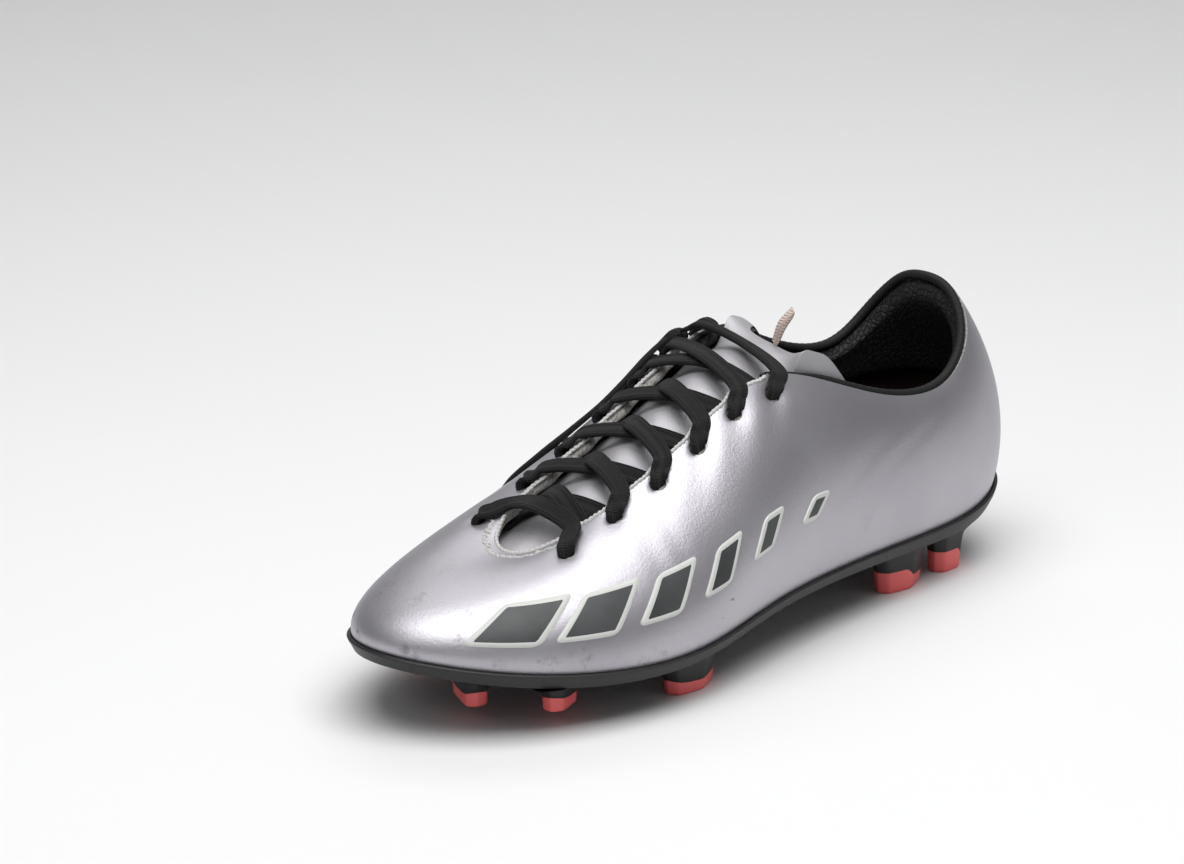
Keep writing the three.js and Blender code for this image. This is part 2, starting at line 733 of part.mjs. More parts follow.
const roundEdge = [
  underTheEdge(-1.5, 2.2, laceUnder - 0.4),
  underTheEdge(3.4, 3.6, 1.2),
  underTheEdge(3.4, 2, -2.2),
  ...laceIntoKnot(3.4),
];
(toKnot ? medialEnd : lateralEnd).push(...acrossTop);
(toKnot ? lateralEnd : medialEnd).push(...roundEdge);
const bar = crossing(-0.6, HIGH + 3);
const lace = ribbon([...medialEnd.reverse(), bar, ...lateralEnd], 2, 6);

// The loops and tails, each a list of places on the wall.
const FRONT_LOOP = [
  [-8.4, 5.4, 4],
  [-12, 6, 4],
  [-18, 8, 3.6],
  [-26, 12, 2.4],
  [-34, 17.5, 1.5],
  [-42, 24, 1.4],
  [-49, 32, 1.4],
  [-52, 41, 1.4],
  [-49, 50, 1.4],
  [-41, 55, 1.4],
  [-32, 53, 1.4],
  [-25, 46, 1.4],
  [-20, 37, 1.4],
  [-16.5, 28, 1.5],
  [-14, 21, 2.2],
  [-11.8, 15.5, 3.4],
  [-8.3, 11, 4],
];
const REAR_LOOP = [
  [8.8, 5.4, 4],
  [12, 5.6, 3.6],
  [19, 7, 2.4],
  [28, 9, 1.5],
  [37, 11, 1.4],
  [46, 14, 1.4],
  [53, 20, 1.4],
  [55, 28, 1.4],
  [51, 36, 1.4],
  [43, 39.5, 1.4],
  [34, 38, 1.4],
  [26, 33, 1.4],
  [19, 26, 1.4],
  [14, 19.5, 1.8],
  [10.5, 14.5, 3.2],
  [8.8, 11, 4],
];
const FRONT_TAIL = [
  [-3.2, 13.4, 3.8],
  [-3.6, 18, 2.8],
  [-4.4, 24, 1.7],
  [-5.4, 31, 1.4],
  [-6.2, 38, 1.4],
  [-6.6, 45, 1.4],
  [-6.8, 53.5, 1.4],
];
const REAR_TAIL = [
  [3.2, 13.4, 3.8],
  [3.8, 18, 2.8],
  [5, 24, 1.7],
  [6.6, 31, 1.4],
  [8.2, 38, 1.4],
  [9.8, 45, 1.4],
  [11.6, 53.5, 1.4],
];

// An aglet carries a tail on in the direction of its last stretch.
function aglet(route) {
  const [before, last] = route.slice(-2).map((place) => onWall(...place));
  const way = last.clone().sub(before).normalize();
  const rod = new CylinderGeometry(AGLET_RADIUS, AGLET_RADIUS * 0.85, AGLET_LENGTH, 10);
  const turn = new Quaternion().setFromUnitVectors(new Vector3(0, -1, 0), way);
  const place = last.addScaledVector(way, AGLET_LENGTH / 2 + SEAM);
  place.addScaledVector(outwardNormal(KNOT_P, 0.3), AGLET_RADIUS - LACE_THICKNESS / 2);
  return rod.applyMatrix4(new Matrix4().compose(place, turn, new Vector3(1, 1, 1)));
}

// ---- The side panels ----

// Slanted blocks along the lateral side, smaller towards the heel.
const PANELS = 6;
const panels = Array.from({ length: PANELS }, (_, k) => {
  const share = k / (PANELS - 1);
  const from = lerp(0.452, 0.236, share);
  const width = lerp(0.037, 0.014, share);
  const low = lerp(0.25, 0.34, share);
  const high = lerp(0.58, 0.45, share);
  const slant = lerp(0.012, 0.01, share);
  const place = (a, b) => [from - width * a - slant * (b - 0.5), lerp(low, high, b)];
  return sheet(place, -SEAM - FILM_WALL, -SEAM, spread(6), 6);
});

// ---- Materials and the assembly ----

const finish = (color, roughness, metalness = 0) =>
  new MeshStandardMaterial({ color, roughness, metalness });
const silver = finish(0xb9b4be, 0.38, 0.35);
const black = finish(0x1a1a1b, 0.6);
const satinBlack = finish(0x232525, 0.4);
const coral = finish(0xe0545a, 0.45);
const maroon = finish(0x2a0f10, 0.9);
const grey = finish(0x8f8f92, 0.8);
const charcoal = finish(0x4a4c4c, 0.5);
const beige = finish(0xc8a795, 0.8);
const board = finish(0xcfc8b8, 0.9);

const parts = new Group();
function add(name, geometry, material, group = parts) {
  const mesh = new Mesh(geometry, material);
  mesh.name = name;
  group.add(mesh);
  return mesh;
}

add("outsole_plate", plate, satinBlack);
for (const stud of STUDS) add(stud.name, studTip(stud), coral);
add("upper", upper, silver);
add("lining", lining, maroon);
add("eyestay_lateral", eyestay(COLLAR_END + 0.01, THROAT_FOOT - 0.008), grey);
add("eyestay_medial", eyestay(1 - THROAT_FOOT + 0.008, 1 - COLLAR_END - 0.01), grey);
add("heel_counter", heelCounter, board);
add("toe_puff", toePuff, board);
add("collar_pad", collarPad, black);
add("collar_piping", piping, black);
add("insole_board", insoleBoard, board);
add("sockliner_foam", sockFoam, grey);
add("sockliner_cover", sockCover, maroon);
add("tongue", tongue, grey);
add("tongue_pad", tonguePad, black);
const tabMesh = add("tongue_tab", tab, beige);
tabMesh.position.copy(tabFoot).add(new Vector3(0, 0, 3 * SEAM));
tabMesh.rotation.y = -TAB_LEAN;
add("lace", lace, black);
panels.forEach((geometry, k) => add("side_panel_" + (k + 1), geometry, charcoal));

// The free ends of the lace aren't counted in the box that the origin is taken from.
const bow = new Group();
add("lace_knot", knot, black, bow);
add("lace_loop_front", wallRibbon(FRONT_LOOP, 2), black, bow);
add("lace_loop_rear", wallRibbon(REAR_LOOP, 2), black, bow);
add("lace_tail_front", wallRibbon(FRONT_TAIL, 2), black, bow);
add("lace_tail_rear", wallRibbon(REAR_TAIL, 2), black, bow);
add("aglet_front", aglet(FRONT_TAIL), satinBlack, bow);
add("aglet_rear", aglet(REAR_TAIL), satinBlack, bow);

const middle = new Box3().setFromObject(parts).getCenter(new Vector3());
const shoe = new Group();
shoe.add(parts, bow);
shoe.position.set(-middle.x, -middle.y, 0);

export default shoe;
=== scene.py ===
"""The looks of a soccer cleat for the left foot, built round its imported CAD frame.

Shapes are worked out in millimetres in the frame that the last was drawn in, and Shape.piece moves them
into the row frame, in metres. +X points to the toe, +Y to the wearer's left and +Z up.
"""

import json
import math

import bmesh
import bpy
import numpy as np
from mathutils import Vector
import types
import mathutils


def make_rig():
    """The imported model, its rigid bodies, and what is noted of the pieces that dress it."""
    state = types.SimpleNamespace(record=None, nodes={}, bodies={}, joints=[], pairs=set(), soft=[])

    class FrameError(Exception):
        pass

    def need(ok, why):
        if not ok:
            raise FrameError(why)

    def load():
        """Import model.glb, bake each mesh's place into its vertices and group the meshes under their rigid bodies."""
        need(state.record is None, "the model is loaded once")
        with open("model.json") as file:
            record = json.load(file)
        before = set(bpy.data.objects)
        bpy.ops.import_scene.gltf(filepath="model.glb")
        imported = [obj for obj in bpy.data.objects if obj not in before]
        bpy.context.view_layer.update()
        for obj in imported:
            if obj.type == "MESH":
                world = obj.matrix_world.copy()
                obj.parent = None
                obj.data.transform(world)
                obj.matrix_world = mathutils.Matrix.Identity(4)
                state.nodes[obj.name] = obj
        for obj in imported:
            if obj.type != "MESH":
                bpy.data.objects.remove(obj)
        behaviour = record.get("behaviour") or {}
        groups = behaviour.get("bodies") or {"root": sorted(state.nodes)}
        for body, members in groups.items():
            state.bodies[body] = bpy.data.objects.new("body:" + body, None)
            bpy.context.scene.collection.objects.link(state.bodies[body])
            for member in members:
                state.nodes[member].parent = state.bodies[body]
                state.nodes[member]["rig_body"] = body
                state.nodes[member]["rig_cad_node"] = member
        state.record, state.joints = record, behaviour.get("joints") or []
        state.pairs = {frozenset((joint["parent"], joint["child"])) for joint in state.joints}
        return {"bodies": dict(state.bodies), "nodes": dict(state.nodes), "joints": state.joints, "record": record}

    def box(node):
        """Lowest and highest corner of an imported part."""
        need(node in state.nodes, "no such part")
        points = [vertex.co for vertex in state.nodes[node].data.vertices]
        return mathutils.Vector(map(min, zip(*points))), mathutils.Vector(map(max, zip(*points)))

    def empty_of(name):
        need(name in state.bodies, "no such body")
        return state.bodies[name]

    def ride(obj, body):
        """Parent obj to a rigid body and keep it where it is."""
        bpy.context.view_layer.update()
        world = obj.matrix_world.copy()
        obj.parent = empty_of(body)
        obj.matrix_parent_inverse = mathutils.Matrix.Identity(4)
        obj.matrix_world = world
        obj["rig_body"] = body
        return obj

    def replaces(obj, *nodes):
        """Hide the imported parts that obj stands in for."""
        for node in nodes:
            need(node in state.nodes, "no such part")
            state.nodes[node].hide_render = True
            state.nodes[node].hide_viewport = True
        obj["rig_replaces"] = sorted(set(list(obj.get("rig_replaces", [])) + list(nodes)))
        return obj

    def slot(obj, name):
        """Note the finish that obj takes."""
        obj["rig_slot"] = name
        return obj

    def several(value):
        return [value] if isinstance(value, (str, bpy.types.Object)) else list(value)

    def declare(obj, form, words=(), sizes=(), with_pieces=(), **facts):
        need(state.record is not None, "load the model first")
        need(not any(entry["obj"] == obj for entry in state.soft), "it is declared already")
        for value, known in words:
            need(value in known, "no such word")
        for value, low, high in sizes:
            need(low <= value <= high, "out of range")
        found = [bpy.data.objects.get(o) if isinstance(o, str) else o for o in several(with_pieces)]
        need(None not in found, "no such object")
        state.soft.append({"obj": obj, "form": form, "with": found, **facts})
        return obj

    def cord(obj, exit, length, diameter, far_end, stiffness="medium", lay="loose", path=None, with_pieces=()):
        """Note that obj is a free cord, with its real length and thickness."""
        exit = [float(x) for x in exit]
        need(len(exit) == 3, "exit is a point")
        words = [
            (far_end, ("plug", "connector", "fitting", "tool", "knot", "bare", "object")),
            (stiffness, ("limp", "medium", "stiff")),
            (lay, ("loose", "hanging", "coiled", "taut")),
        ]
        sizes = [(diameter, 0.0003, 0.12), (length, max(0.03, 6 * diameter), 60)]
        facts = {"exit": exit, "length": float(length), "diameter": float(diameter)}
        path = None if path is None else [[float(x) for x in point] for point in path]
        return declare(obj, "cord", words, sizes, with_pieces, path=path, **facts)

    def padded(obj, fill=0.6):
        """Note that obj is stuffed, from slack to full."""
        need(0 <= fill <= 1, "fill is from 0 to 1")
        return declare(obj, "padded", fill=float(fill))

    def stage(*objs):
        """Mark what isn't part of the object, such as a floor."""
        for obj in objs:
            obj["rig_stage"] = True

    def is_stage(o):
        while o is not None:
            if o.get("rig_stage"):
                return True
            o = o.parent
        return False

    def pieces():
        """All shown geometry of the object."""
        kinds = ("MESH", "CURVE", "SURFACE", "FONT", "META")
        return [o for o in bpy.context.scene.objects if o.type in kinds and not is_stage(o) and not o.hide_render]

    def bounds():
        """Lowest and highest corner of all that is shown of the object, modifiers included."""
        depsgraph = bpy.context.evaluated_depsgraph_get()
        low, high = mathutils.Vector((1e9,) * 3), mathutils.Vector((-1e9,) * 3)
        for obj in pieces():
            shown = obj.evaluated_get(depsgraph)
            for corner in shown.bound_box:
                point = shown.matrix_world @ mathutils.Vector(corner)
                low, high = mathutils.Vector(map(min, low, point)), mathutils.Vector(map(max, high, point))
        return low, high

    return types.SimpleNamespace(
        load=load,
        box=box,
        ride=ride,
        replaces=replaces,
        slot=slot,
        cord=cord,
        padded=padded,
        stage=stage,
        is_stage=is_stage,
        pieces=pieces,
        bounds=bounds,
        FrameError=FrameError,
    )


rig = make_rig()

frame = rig.load()
cad_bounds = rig.bounds()

# ---- Sizes, in millimetres: the same values as the CAD part's ----

SEAM = 0.3
UPPER_WALL = 1.2
LINING_DEPTH = 2.8
LINING_FACE = 3.6
HEEL_PAD = 4
FILM_WALL = 0.5
PIPING_RADIUS = 1.5
PLATE_THICKNESS = 3.2
PLATE_RIM = 1.3
RIM_HEIGHT = 2.6
STUD_HEIGHT = 13
STUD_TIP_HEIGHT = 5
STUD_WIDTH = 11.5
STUD_TAPER = 0.86
UPPER_HEIGHT = 80
TOE_SPRING = 11.5
HEEL_LIFT = 4
HEEL_CUP = 7
EYELET_PAIRS = 6
EYELET_RADIUS = 2.7
LACE_WIDTH = 6.4
LACE_THICKNESS = 1.6
TONGUE_DEPTH = 6.6
TONGUE_END = 1.3
TONGUE_WALL = 1.2
CROWN_RISE = 6
THROAT_FOOT = 0.452
THROAT_TOP = 0.243
FIRST_EYELET = 0.421
LAST_EYELET = 0.2575
COLLAR_END = 0.225
PIPING_END = 0.262
PIPING_THIN = 0.85
BED_INSET = 5.5
THROAT_TURN = 0.4985
COLLAR_BLEND = 0.012
FINE_STEP = 1e-4

# ---- The last ----

# Stations go round from the heel's back along the lateral side to the toe and back along the medial
# side: the feather line (x, y), the low and high points of the wall's bow, and its top edge (x, y, and
# height over the plate's seat).
STATIONS = np.array(
    [
        [-141, 0, -148, 0, 29, -138, 0, 58, -116, 0, 80],
        [-134, 18, -142, 21, 28, -133, 17, 57, -116, 13, 78],
        [-112, 30, -116, 36, 28, -115, 31, 49, -110, 25, 64],
        [-80, 33, -80, 38, 26, -84, 35, 41, -92, 29, 49],
        [-45, 34, -45, 39, 26, -48, 37, 46, -60, 29, 53],
        [-10, 38, -10, 44, 24, -16, 39, 56, -28, 22, 68],
        [20, 43, 20, 50, 22, 10, 40, 50, -5, 18, 72],
        [45, 48, 45, 54, 17, 34, 41, 40, 19, 19, 61],
        [72, 47, 72, 52, 16, 59, 38, 33, 43, 19, 50],
        [100, 38, 101, 42, 16, 87, 31, 29, 66, 16, 39],
        [124, 21, 128, 24, 17, 110, 18, 27, 81, 9, 31],
        [138, -4, 144, -4, 19, 122, -2, 27, 85, -1, 29],
        [128, -27, 132, -30, 18, 112, -21, 28, 81, -10, 32],
        [102, -42, 104, -46, 17, 89, -33, 31, 66, -13, 40],
        [74, -48, 75, -52, 17, 61, -39, 35, 43, -12, 50],
        [45, -42, 45, -49, 20, 34, -39, 43, 19, -13, 61],
        [18, -33, 18, -41, 24, 10, -37, 53, -5, -15, 72],
        [-12, -27, -12, -35, 27, -16, -35, 59, -30, -22, 77],
        [-45, -27, -45, -34, 28, -48, -35, 50, -60, -28, 61],
        [-80, -29, -80, -35, 27, -84, -34, 44, -92, -27, 51],
        [-112, -28, -116, -34, 28, -115, -30, 50, -110, -24, 63],
        [-134, -17, -142, -20, 28, -133, -16, 57, -116, -12, 78],
    ],
    float,
)
SEAT = STUD_HEIGHT + PLATE_THICKNESS


def smooth(value, low, high):
    """The smooth step from 0 at low to 1 at high: t squared times (3 - 2t)."""
    t = np.clip((np.asarray(value, float) - low) / (high - low), 0, 1)
    return t * t * (3 - 2 * t)


def lerp(a, b, t):
    return a + (b - a) * t


def unit(vectors):
    """Each vector divided by its length."""
    return vectors / np.linalg.norm(vectors, axis=-1, keepdims=True)


def dot(a, b):
    return np.sum(a * b, axis=-1, keepdims=True)


def seat_height(x):
    """Height of the plate's seat: squares of x rise at both ends, and smooth steps lift the heel."""
    toe = np.maximum(0, (x - 60) / 85) ** 2
    back = np.maximum(0, (-90 - x) / 55) ** 2
    rise = smooth(60 - x, 0, 70) - 0.35 * smooth(-10 - x, 0, 90)
    return SEAT + TOE_SPRING * toe + HEEL_LIFT * rise + HEEL_CUP * back


def station_at(p):
    """The closed uniform cubic B-spline through the stations, at p of the way round."""
    count = len(STATIONS)
    u = (np.asarray(p, float) % 1) * count
    i = np.floor(u).astype(int)
    t = u - i
    weights = [
        (1 - t) ** 3 / 6,
        (3 * t**3 - 6 * t**2 + 4) / 6,
        (-3 * t**3 + 3 * t**2 + 3 * t + 1) / 6,
        t**3 / 6,
    ]
    return sum(w[..., None] * STATIONS[(i - 1 + k) % count] for k, w in enumerate(weights))


def on_last(p, q):
    """The upper's outer face: a cubic Bezier curve in q up the wall, through the stations' blend at p."""
    p, q = np.broadcast_arrays(np.asarray(p, float), np.asarray(q, float))
    s = station_at(p)
    foot = np.stack([s[..., 0], s[..., 1], seat_height(s[..., 0])], -1)
    low, high, edge = (s[..., k : k + 3] + [0, 0, SEAT] for k in (2, 5, 8))
    q = q[..., None]
    return (1 - q) ** 3 * foot + 3 * q * (1 - q) ** 2 * low + 3 * q * q * (1 - q) * high + q**3 * edge


def outward(p, q):
    """The unit normal, from the cross product of small steps up the wall and round the shoe."""
    step = FINE_STEP
    q = np.asarray(q, float)
    around = on_last(p + step, q) - on_last(p - step, q)
    up = on_last(p, np.minimum(1, q + 5 * step)) - on_last(p, np.maximum(0, q - 5 * step))
    return unit(np.cross(up, around))


def inside(p, q, depth):
    """A point at a depth inside the outer face, along its normal; a negative depth lies outside."""
    p, q, depth = np.broadcast_arrays(np.asarray(p, float), np.asarray(q, float), np.asarray(depth, float))
    return on_last(p, q) - outward(p, q) * depth[..., None]


def below_edge(p, distance):
    """The q that lies a distance down the wall from its top edge, halving the interval 24 times."""
    p, distance = np.broadcast_arrays(np.asarray(p, float), np.asarray(distance, float))
    edge = on_last(p, 1)
    low = np.full(p.shape, 0.3)
    high = np.full(p.shape, 1.0)
    for _ in range(24):
        q = (low + high) / 2
        far = np.linalg.norm(on_last(p, q) - edge, axis=-1) > distance
        low = np.where(far, q, low)
        high = np.where(far, high, q)
    return (low + high) / 2


def up_wall(p):
    """The unit direction up the wall at its top edge."""
    return unit(on_last(p, 1) - on_last(p, 0.97))


# The CAD part is centred on its box, so its frame lies this far from the drawn one.
drawn = on_last(np.arange(72)[:, None] / 72, np.arange(8)[None, :] / 7)
SHIFT = np.array([1000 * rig.box("upper")[0][axis] - drawn[..., axis].min() for axis in (0, 1)] + [0])


def to_frame(points):
    """Drawn millimetres to metres in the row frame."""
    return (np.asarray(points, float) + SHIFT) / 1000


# ---- Camera ----

AZIMUTH, ELEVATION = math.radians(133.931), math.radians(17.127)
DISTANCE = 1.2124
target = Vector((0.0254, -0.0244, 0.0656))
away = Vector(
    (math.sin(AZIMUTH) * math.cos(ELEVATION), -math.cos(AZIMUTH) * math.cos(ELEVATION), math.sin(ELEVATION))
)
camera = bpy.data.objects.new("camera", bpy.data.cameras.new("camera"))
camera.data.lens = 115.7
camera.data.sensor_width = 36
camera.location = target + away * DISTANCE
camera.rotation_euler = (-away).to_track_quat("-Z", "Y").to_euler()
bpy.context.scene.collection.objects.link(camera)
bpy.context.scene.camera = camera

# ---- Materials ----


class Wire:
    """A shader socket. Arithmetic on it adds Math nodes."""

    def __init__(self, finish, socket):
        self.finish = finish
        self.socket = socket

    def __add__(self, other):
        return self.finish.math("ADD", self, other)

    def __sub__(self, other):
        return self.finish.math("SUBTRACT", self, other)

    def __rsub__(self, other):
        return self.finish.math("SUBTRACT", other, self)

    def __mul__(self, other):
        return self.finish.math("MULTIPLY", self, other)

    __radd__ = __add__
    __rmul__ = __mul__


class Finish:
    """A material with one Principled shader, and one method that adds any other node."""

    def __init__(self, name, **sockets):
        self.material = bpy.data.materials.new(name)
        self.material.use_nodes = True
        self.tree = self.material.node_tree
        self.shader = self.tree.nodes["Principled BSDF"]
        for key, value in sockets.items():
            self.feed(self.shader, key.replace("_", " "), value)

    def feed(self, node, key, value):
        if isinstance(value, Wire):
            self.tree.links.new(value.socket, node.inputs[key])
        elif isinstance(value, tuple) and len(value) == 3 and node.inputs[key].type == "RGBA":
            node.inputs[key].default_value = (*value, 1)
        else:
            node.inputs[key].default_value = value

    def set(self, key, value):
        self.feed(self.shader, key, value)

    def node(self, kind, settings=(), sockets=(), output=0):
        made = self.tree.nodes.new("ShaderNode" + kind)
        for key, value in dict(settings).items():
            setattr(made, key, value)
        for key, value in dict(sockets).items():
            self.feed(made, key, value)
        return Wire(self, made.outputs[output])

    def math(self, operation, *values):
        return self.node("Math", {"operation": operation}, enumerate(values))

    def place(self):
        return self.node("TexCoord", output="Object")

    def uv(self):
        return self.node("TexCoord", output="UV")

    def parts(self, vector):
        split = self.node("SeparateXYZ", (), {0: vector}).socket.node
        return [Wire(self, out) for out in split.outputs]

    def stretched(self, vector, scale):
        return self.node("Mapping", (), {"Vector": vector, "Scale": scale})

    def noise(self, scale, detail=2.0, at=None, rough=0.5):
        sockets = {"Vector": at or self.place(), "Scale": scale, "Detail": detail, "Roughness": rough}
        return self.node("TexNoise", (), sockets, "Fac")

    def cells(self, scale, feature="F1", at=None):
        return self.node(
            "TexVoronoi", {"feature": feature}, {"Vector": at or self.place(), "Scale": scale}, "Distance"
        )

    def ease(self, value, low, high):
        """0 below low, 1 above high, and a smooth step between."""
        sockets = {"Value": value, "From Min": low, "From Max": high}
        return self.node("MapRange", {"interpolation_type": "SMOOTHSTEP"}, sockets)

    def mix(self, a, b, factor):
        return self.node("Mix", {"data_type": "RGBA"}, {0: factor, 6: a, 7: b}, 2)

    def bump(self, height, distance):
        sockets = {"Height": height, "Distance": distance}
        self.set("Normal", self.node("Bump", (), sockets))
        return self


def wave(value, turns):
    """A sine of a value, with so many turns for each unit of it."""
    return value.finish.math("SINE", value * (2 * math.pi * turns))


def silver_skin():
    """Metallic coated leather: cloudy satin gloss over a fine pebbled grain, rubbed at the toe, with painted shade
    streaked dark low on the toe box.
    """
    f = Finish("silver_skin", Metallic=0.86, Specular_IOR_Level=0.5)
    x, _, z = f.parts(f.place())
    cloud = f.noise(16, 3)
    mottle = f.noise(90, 4, rough=0.6)
    low = 1 - f.ease(z, 0.03, 0.05)
    scuff = f.ease(x, 0.02, 0.13) * low * f.ease(f.noise(130, 5, rough=0.7), 0.54, 0.74)
    # Painted shade: dark streaks low on the toe box, darkening its front.
    toe_box_shade = f.ease(f.noise(70, 4, f.stretched(f.place(), (1, 1, 3.2)), 0.75), 0.66, 0.72)
    tone = f.mix((0.44, 0.425, 0.46), (0.53, 0.515, 0.55), f.ease(cloud, 0.3, 0.7))
    tone = f.mix(tone, (0.33, 0.31, 0.345), f.ease(mottle, 0.6, 0.8) * 0.3)
    tone = f.mix(tone, (0.18, 0.16, 0.165), scuff * 0.75)
    tone = f.mix(tone, (0.10, 0.09, 0.095), toe_box_shade * low * f.ease(x, 0.0, 0.05) * 0.6)
    f.set("Base Color", tone)
    grain = f.noise(1500, 2)
    pores = f.ease(f.cells(800), 0.0, 0.5)
    f.set("Roughness", 0.38 + 0.08 * cloud + 0.18 * scuff + 0.05 * grain)
    return f.bump(grain * 0.8 + pores * 0.2 + f.noise(520, 3) * 0.6, 0.00007)


def felt(name, light, dark):
    f = Finish(name, Roughness=0.95, Specular_IOR_Level=0.2)
    fibres = f.noise(1400, 4, f.stretched(f.place(), (1, 1, 0.5)), 0.7)
    f.set("Base Color", f.mix(dark, light, f.ease(fibres, 0.34, 0.62)))
    return f.bump(fibres + 0.6 * f.noise(420, 3), 0.0003)


def thread(name, light, dark):
    """Spun thread: light and dark bands that run round each stitch, from its own UV map."""
    f = Finish(name, Roughness=0.75, Specular_IOR_Level=0.3)
    u, v, _ = f.parts(f.uv())
    twist = wave(u * 0.9 + v, 2.0) * 0.5 + 0.5
    fuzz = f.noise(2600, 3)
    f.set("Base Color", f.mix(dark, light, f.ease(twist + fuzz * 0.8, 0.35, 1.0)))
    return f.bump(twist + fuzz * 0.6, 0.00012)


def woven_cord():
    """Flat lace: u runs along it and v round it, in millimetres; small plaited picks cross its ribs."""
    f = Finish("woven_cord", Roughness=0.8, Specular_IOR_Level=0.2, Sheen_Weight=0.06)
    f.set("Sheen Roughness", 0.5)
    u, v, _ = f.parts(f.uv())
    picks = wave(u * 0.85 + v * 0.55, 1.0) * wave(u * 0.85 - v * 0.55, 1.0)
    picks = f.ease(picks, -0.5, 0.7)
    fuzz = f.noise(2300, 3, rough=0.65)
    ribs = wave(v, 1 / 1.12) * 0.5 + 0.5
    shade = picks * 0.45 + f.ease(fuzz, 0.35, 0.7) * 0.6 + ribs * 0.35
    f.set("Base Color", f.mix((0.003, 0.003, 0.0033), (0.026, 0.0255, 0.026), shade * 0.8))
    f.set("Roughness", 0.72 + 0.2 * fuzz)
    return f.bump(picks * 0.9 + fuzz * 0.8, 0.0003)


def black_grain():
    """Soft black leather: small cells with creases between, drawn out where it bends over the edge."""
    f = Finish("black_grain", Specular_IOR_Level=0.45, Roughness=0.5)
    at = f.stretched(f.place(), (1, 1, 0.62))
    creases = f.ease(f.cells(620, "DISTANCE_TO_EDGE", at), 0.0, 0.22)
    grain = f.noise(1300, 3, at)
    f.set("Base Color", f.mix((0.006, 0.006, 0.007), (0.03, 0.031, 0.033), creases * 0.7 + grain * 0.3))
    f.set("Roughness", 0.62 - 0.16 * creases + 0.1 * grain)
    return f.bump(creases + grain * 0.5, 0.00022)


def black_cord():
    f = Finish("black_cord", Roughness=0.62, Specular_IOR_Level=0.28)
    u, v, _ = f.parts(f.uv())
    twist = wave(u * 1.1 + v * 0.6, 1.0) * 0.5 + 0.5
    fuzz = f.noise(1800, 3)
    f.set("Base Color", f.mix((0.004, 0.004, 0.0045), (0.02, 0.0205, 0.021), twist * 0.4 + fuzz * 0.5))
    return f.bump(twist * 0.5 + fuzz, 0.00013)


def knit(name, light, dark, size):
    """Fine knit in the piece's UV map: u and v in millimetres, one stitch for each size."""
    f = Finish(name, Roughness=0.9, Specular_IOR_Level=0.25, Sheen_Weight=0.1)
    u, v, _ = f.parts(f.uv())
    lean = wave(v, 0.5 / size) * 0.25
    rib = wave(u + lean * size, 1 / size) * 0.5 + 0.5
    stitch = wave(v, 1 / size) * 0.5 + 0.5
    cloth = rib * stitch * 0.7 + f.noise(1500, 3) * 0.5
    f.set("Base Color", f.mix(dark, light, f.ease(cloth, 0.15, 0.85)))
    return f.bump(cloth, 0.00018)


def moulded(name, light, dark, rough, grain_size=900, wear=0.25):
    """Moulded plastic: fine matt grain, cloudy gloss and a few rubbed patches."""
    f = Finish(name, Specular_IOR_Level=0.5)
    cloud = f.noise(40, 3)
    grain = f.noise(grain_size, 2)
    rubbed = f.ease(f.noise(160, 5, rough=0.7), 0.6, 0.78) * wear
    f.set("Base Color", f.mix(f.mix(dark, light, cloud), light, rubbed))
    f.set("Roughness", rough + 0.12 * cloud + 0.25 * rubbed + 0.04 * grain)
    return f.bump(grain + 0.6 * f.noise(260, 2), 0.00004)


def side_film():
    """Printed film: a charcoal block with an off-white border, by the distance to its edge in UV."""
    f = Finish("side_film", Roughness=0.42, Specular_IOR_Level=0.5)
    u, v, _ = f.parts(f.uv())
    edge = f.math("MINIMUM", u, v)
    border = 1 - f.ease(edge, 2.15, 2.35)
    cloud = f.noise(60, 3)
    fill = f.mix((0.036, 0.039, 0.04), (0.066, 0.07, 0.071), f.ease(cloud, 0.3, 0.7))
    f.set("Base Color", f.mix(fill, (0.62, 0.63, 0.60), border))
    f.set("Roughness", 0.46 + 0.08 * cloud - 0.06 * border)
    return f.bump(f.noise(900, 2) + border * 1.2, 0.00006)


def herringbone():
    """Twill tape: slanted picks that turn over every 1.6 mm across, from UV in millimetres."""
    f = Finish("herringbone", Roughness=0.85, Specular_IOR_Level=0.25)
    u, v, _ = f.parts(f.uv())
    fold = f.math("PINGPONG", v, 1.6)
    twill = wave(u + fold, 1 / 1.1) * 0.5 + 0.5
    fuzz = f.noise(2200, 3)
    tone = f.mix((0.50, 0.38, 0.33), (0.72, 0.60, 0.53), f.ease(twill + fuzz * 0.7, 0.3, 1.1))
    f.set("Base Color", tone)
    return f.bump(twill + fuzz * 0.6, 0.0002)


def soft_skin():
    """The tongue's thin grey skin: faint creases across a fine satin grain."""
    f = Finish("tongue_skin", Metallic=0.5, Specular_IOR_Level=0.5)
    cloud = f.noise(35, 3)
    grain = f.noise(1700, 2)
    creases = f.noise(160, 4, f.stretched(f.place(), (1, 0.35, 1)), 0.6)
    f.set("Base Color", f.mix((0.36, 0.35, 0.37), (0.46, 0.45, 0.47), f.ease(cloud, 0.3, 0.7)))
    f.set("Roughness", 0.46 + 0.12 * cloud + 0.05 * grain)
    return f.bump(creases * 2.2 + grain * 0.5, 0.00014)


def fibre_board():
    f = Finish("fibre_board", Roughness=0.95, Specular_IOR_Level=0.2)
    fibres = f.noise(500, 5, f.stretched(f.place(), (0.25, 1, 1)), 0.7)
    f.set("Base Color", f.mix((0.42, 0.38, 0.30), (0.66, 0.62, 0.54), f.ease(fibres, 0.3, 0.7)))
    return f.bump(fibres, 0.0002)


def pressed_foam():
    f = Finish("pressed_foam", Roughness=0.9, Specular_IOR_Level=0.2)
    bubbles = f.ease(f.cells(1100), 0.0, 0.55)
    f.set("Base Color", f.mix((0.10, 0.10, 0.105), (0.22, 0.22, 0.225), bubbles))
    return f.bump(bubbles, 0.0002)


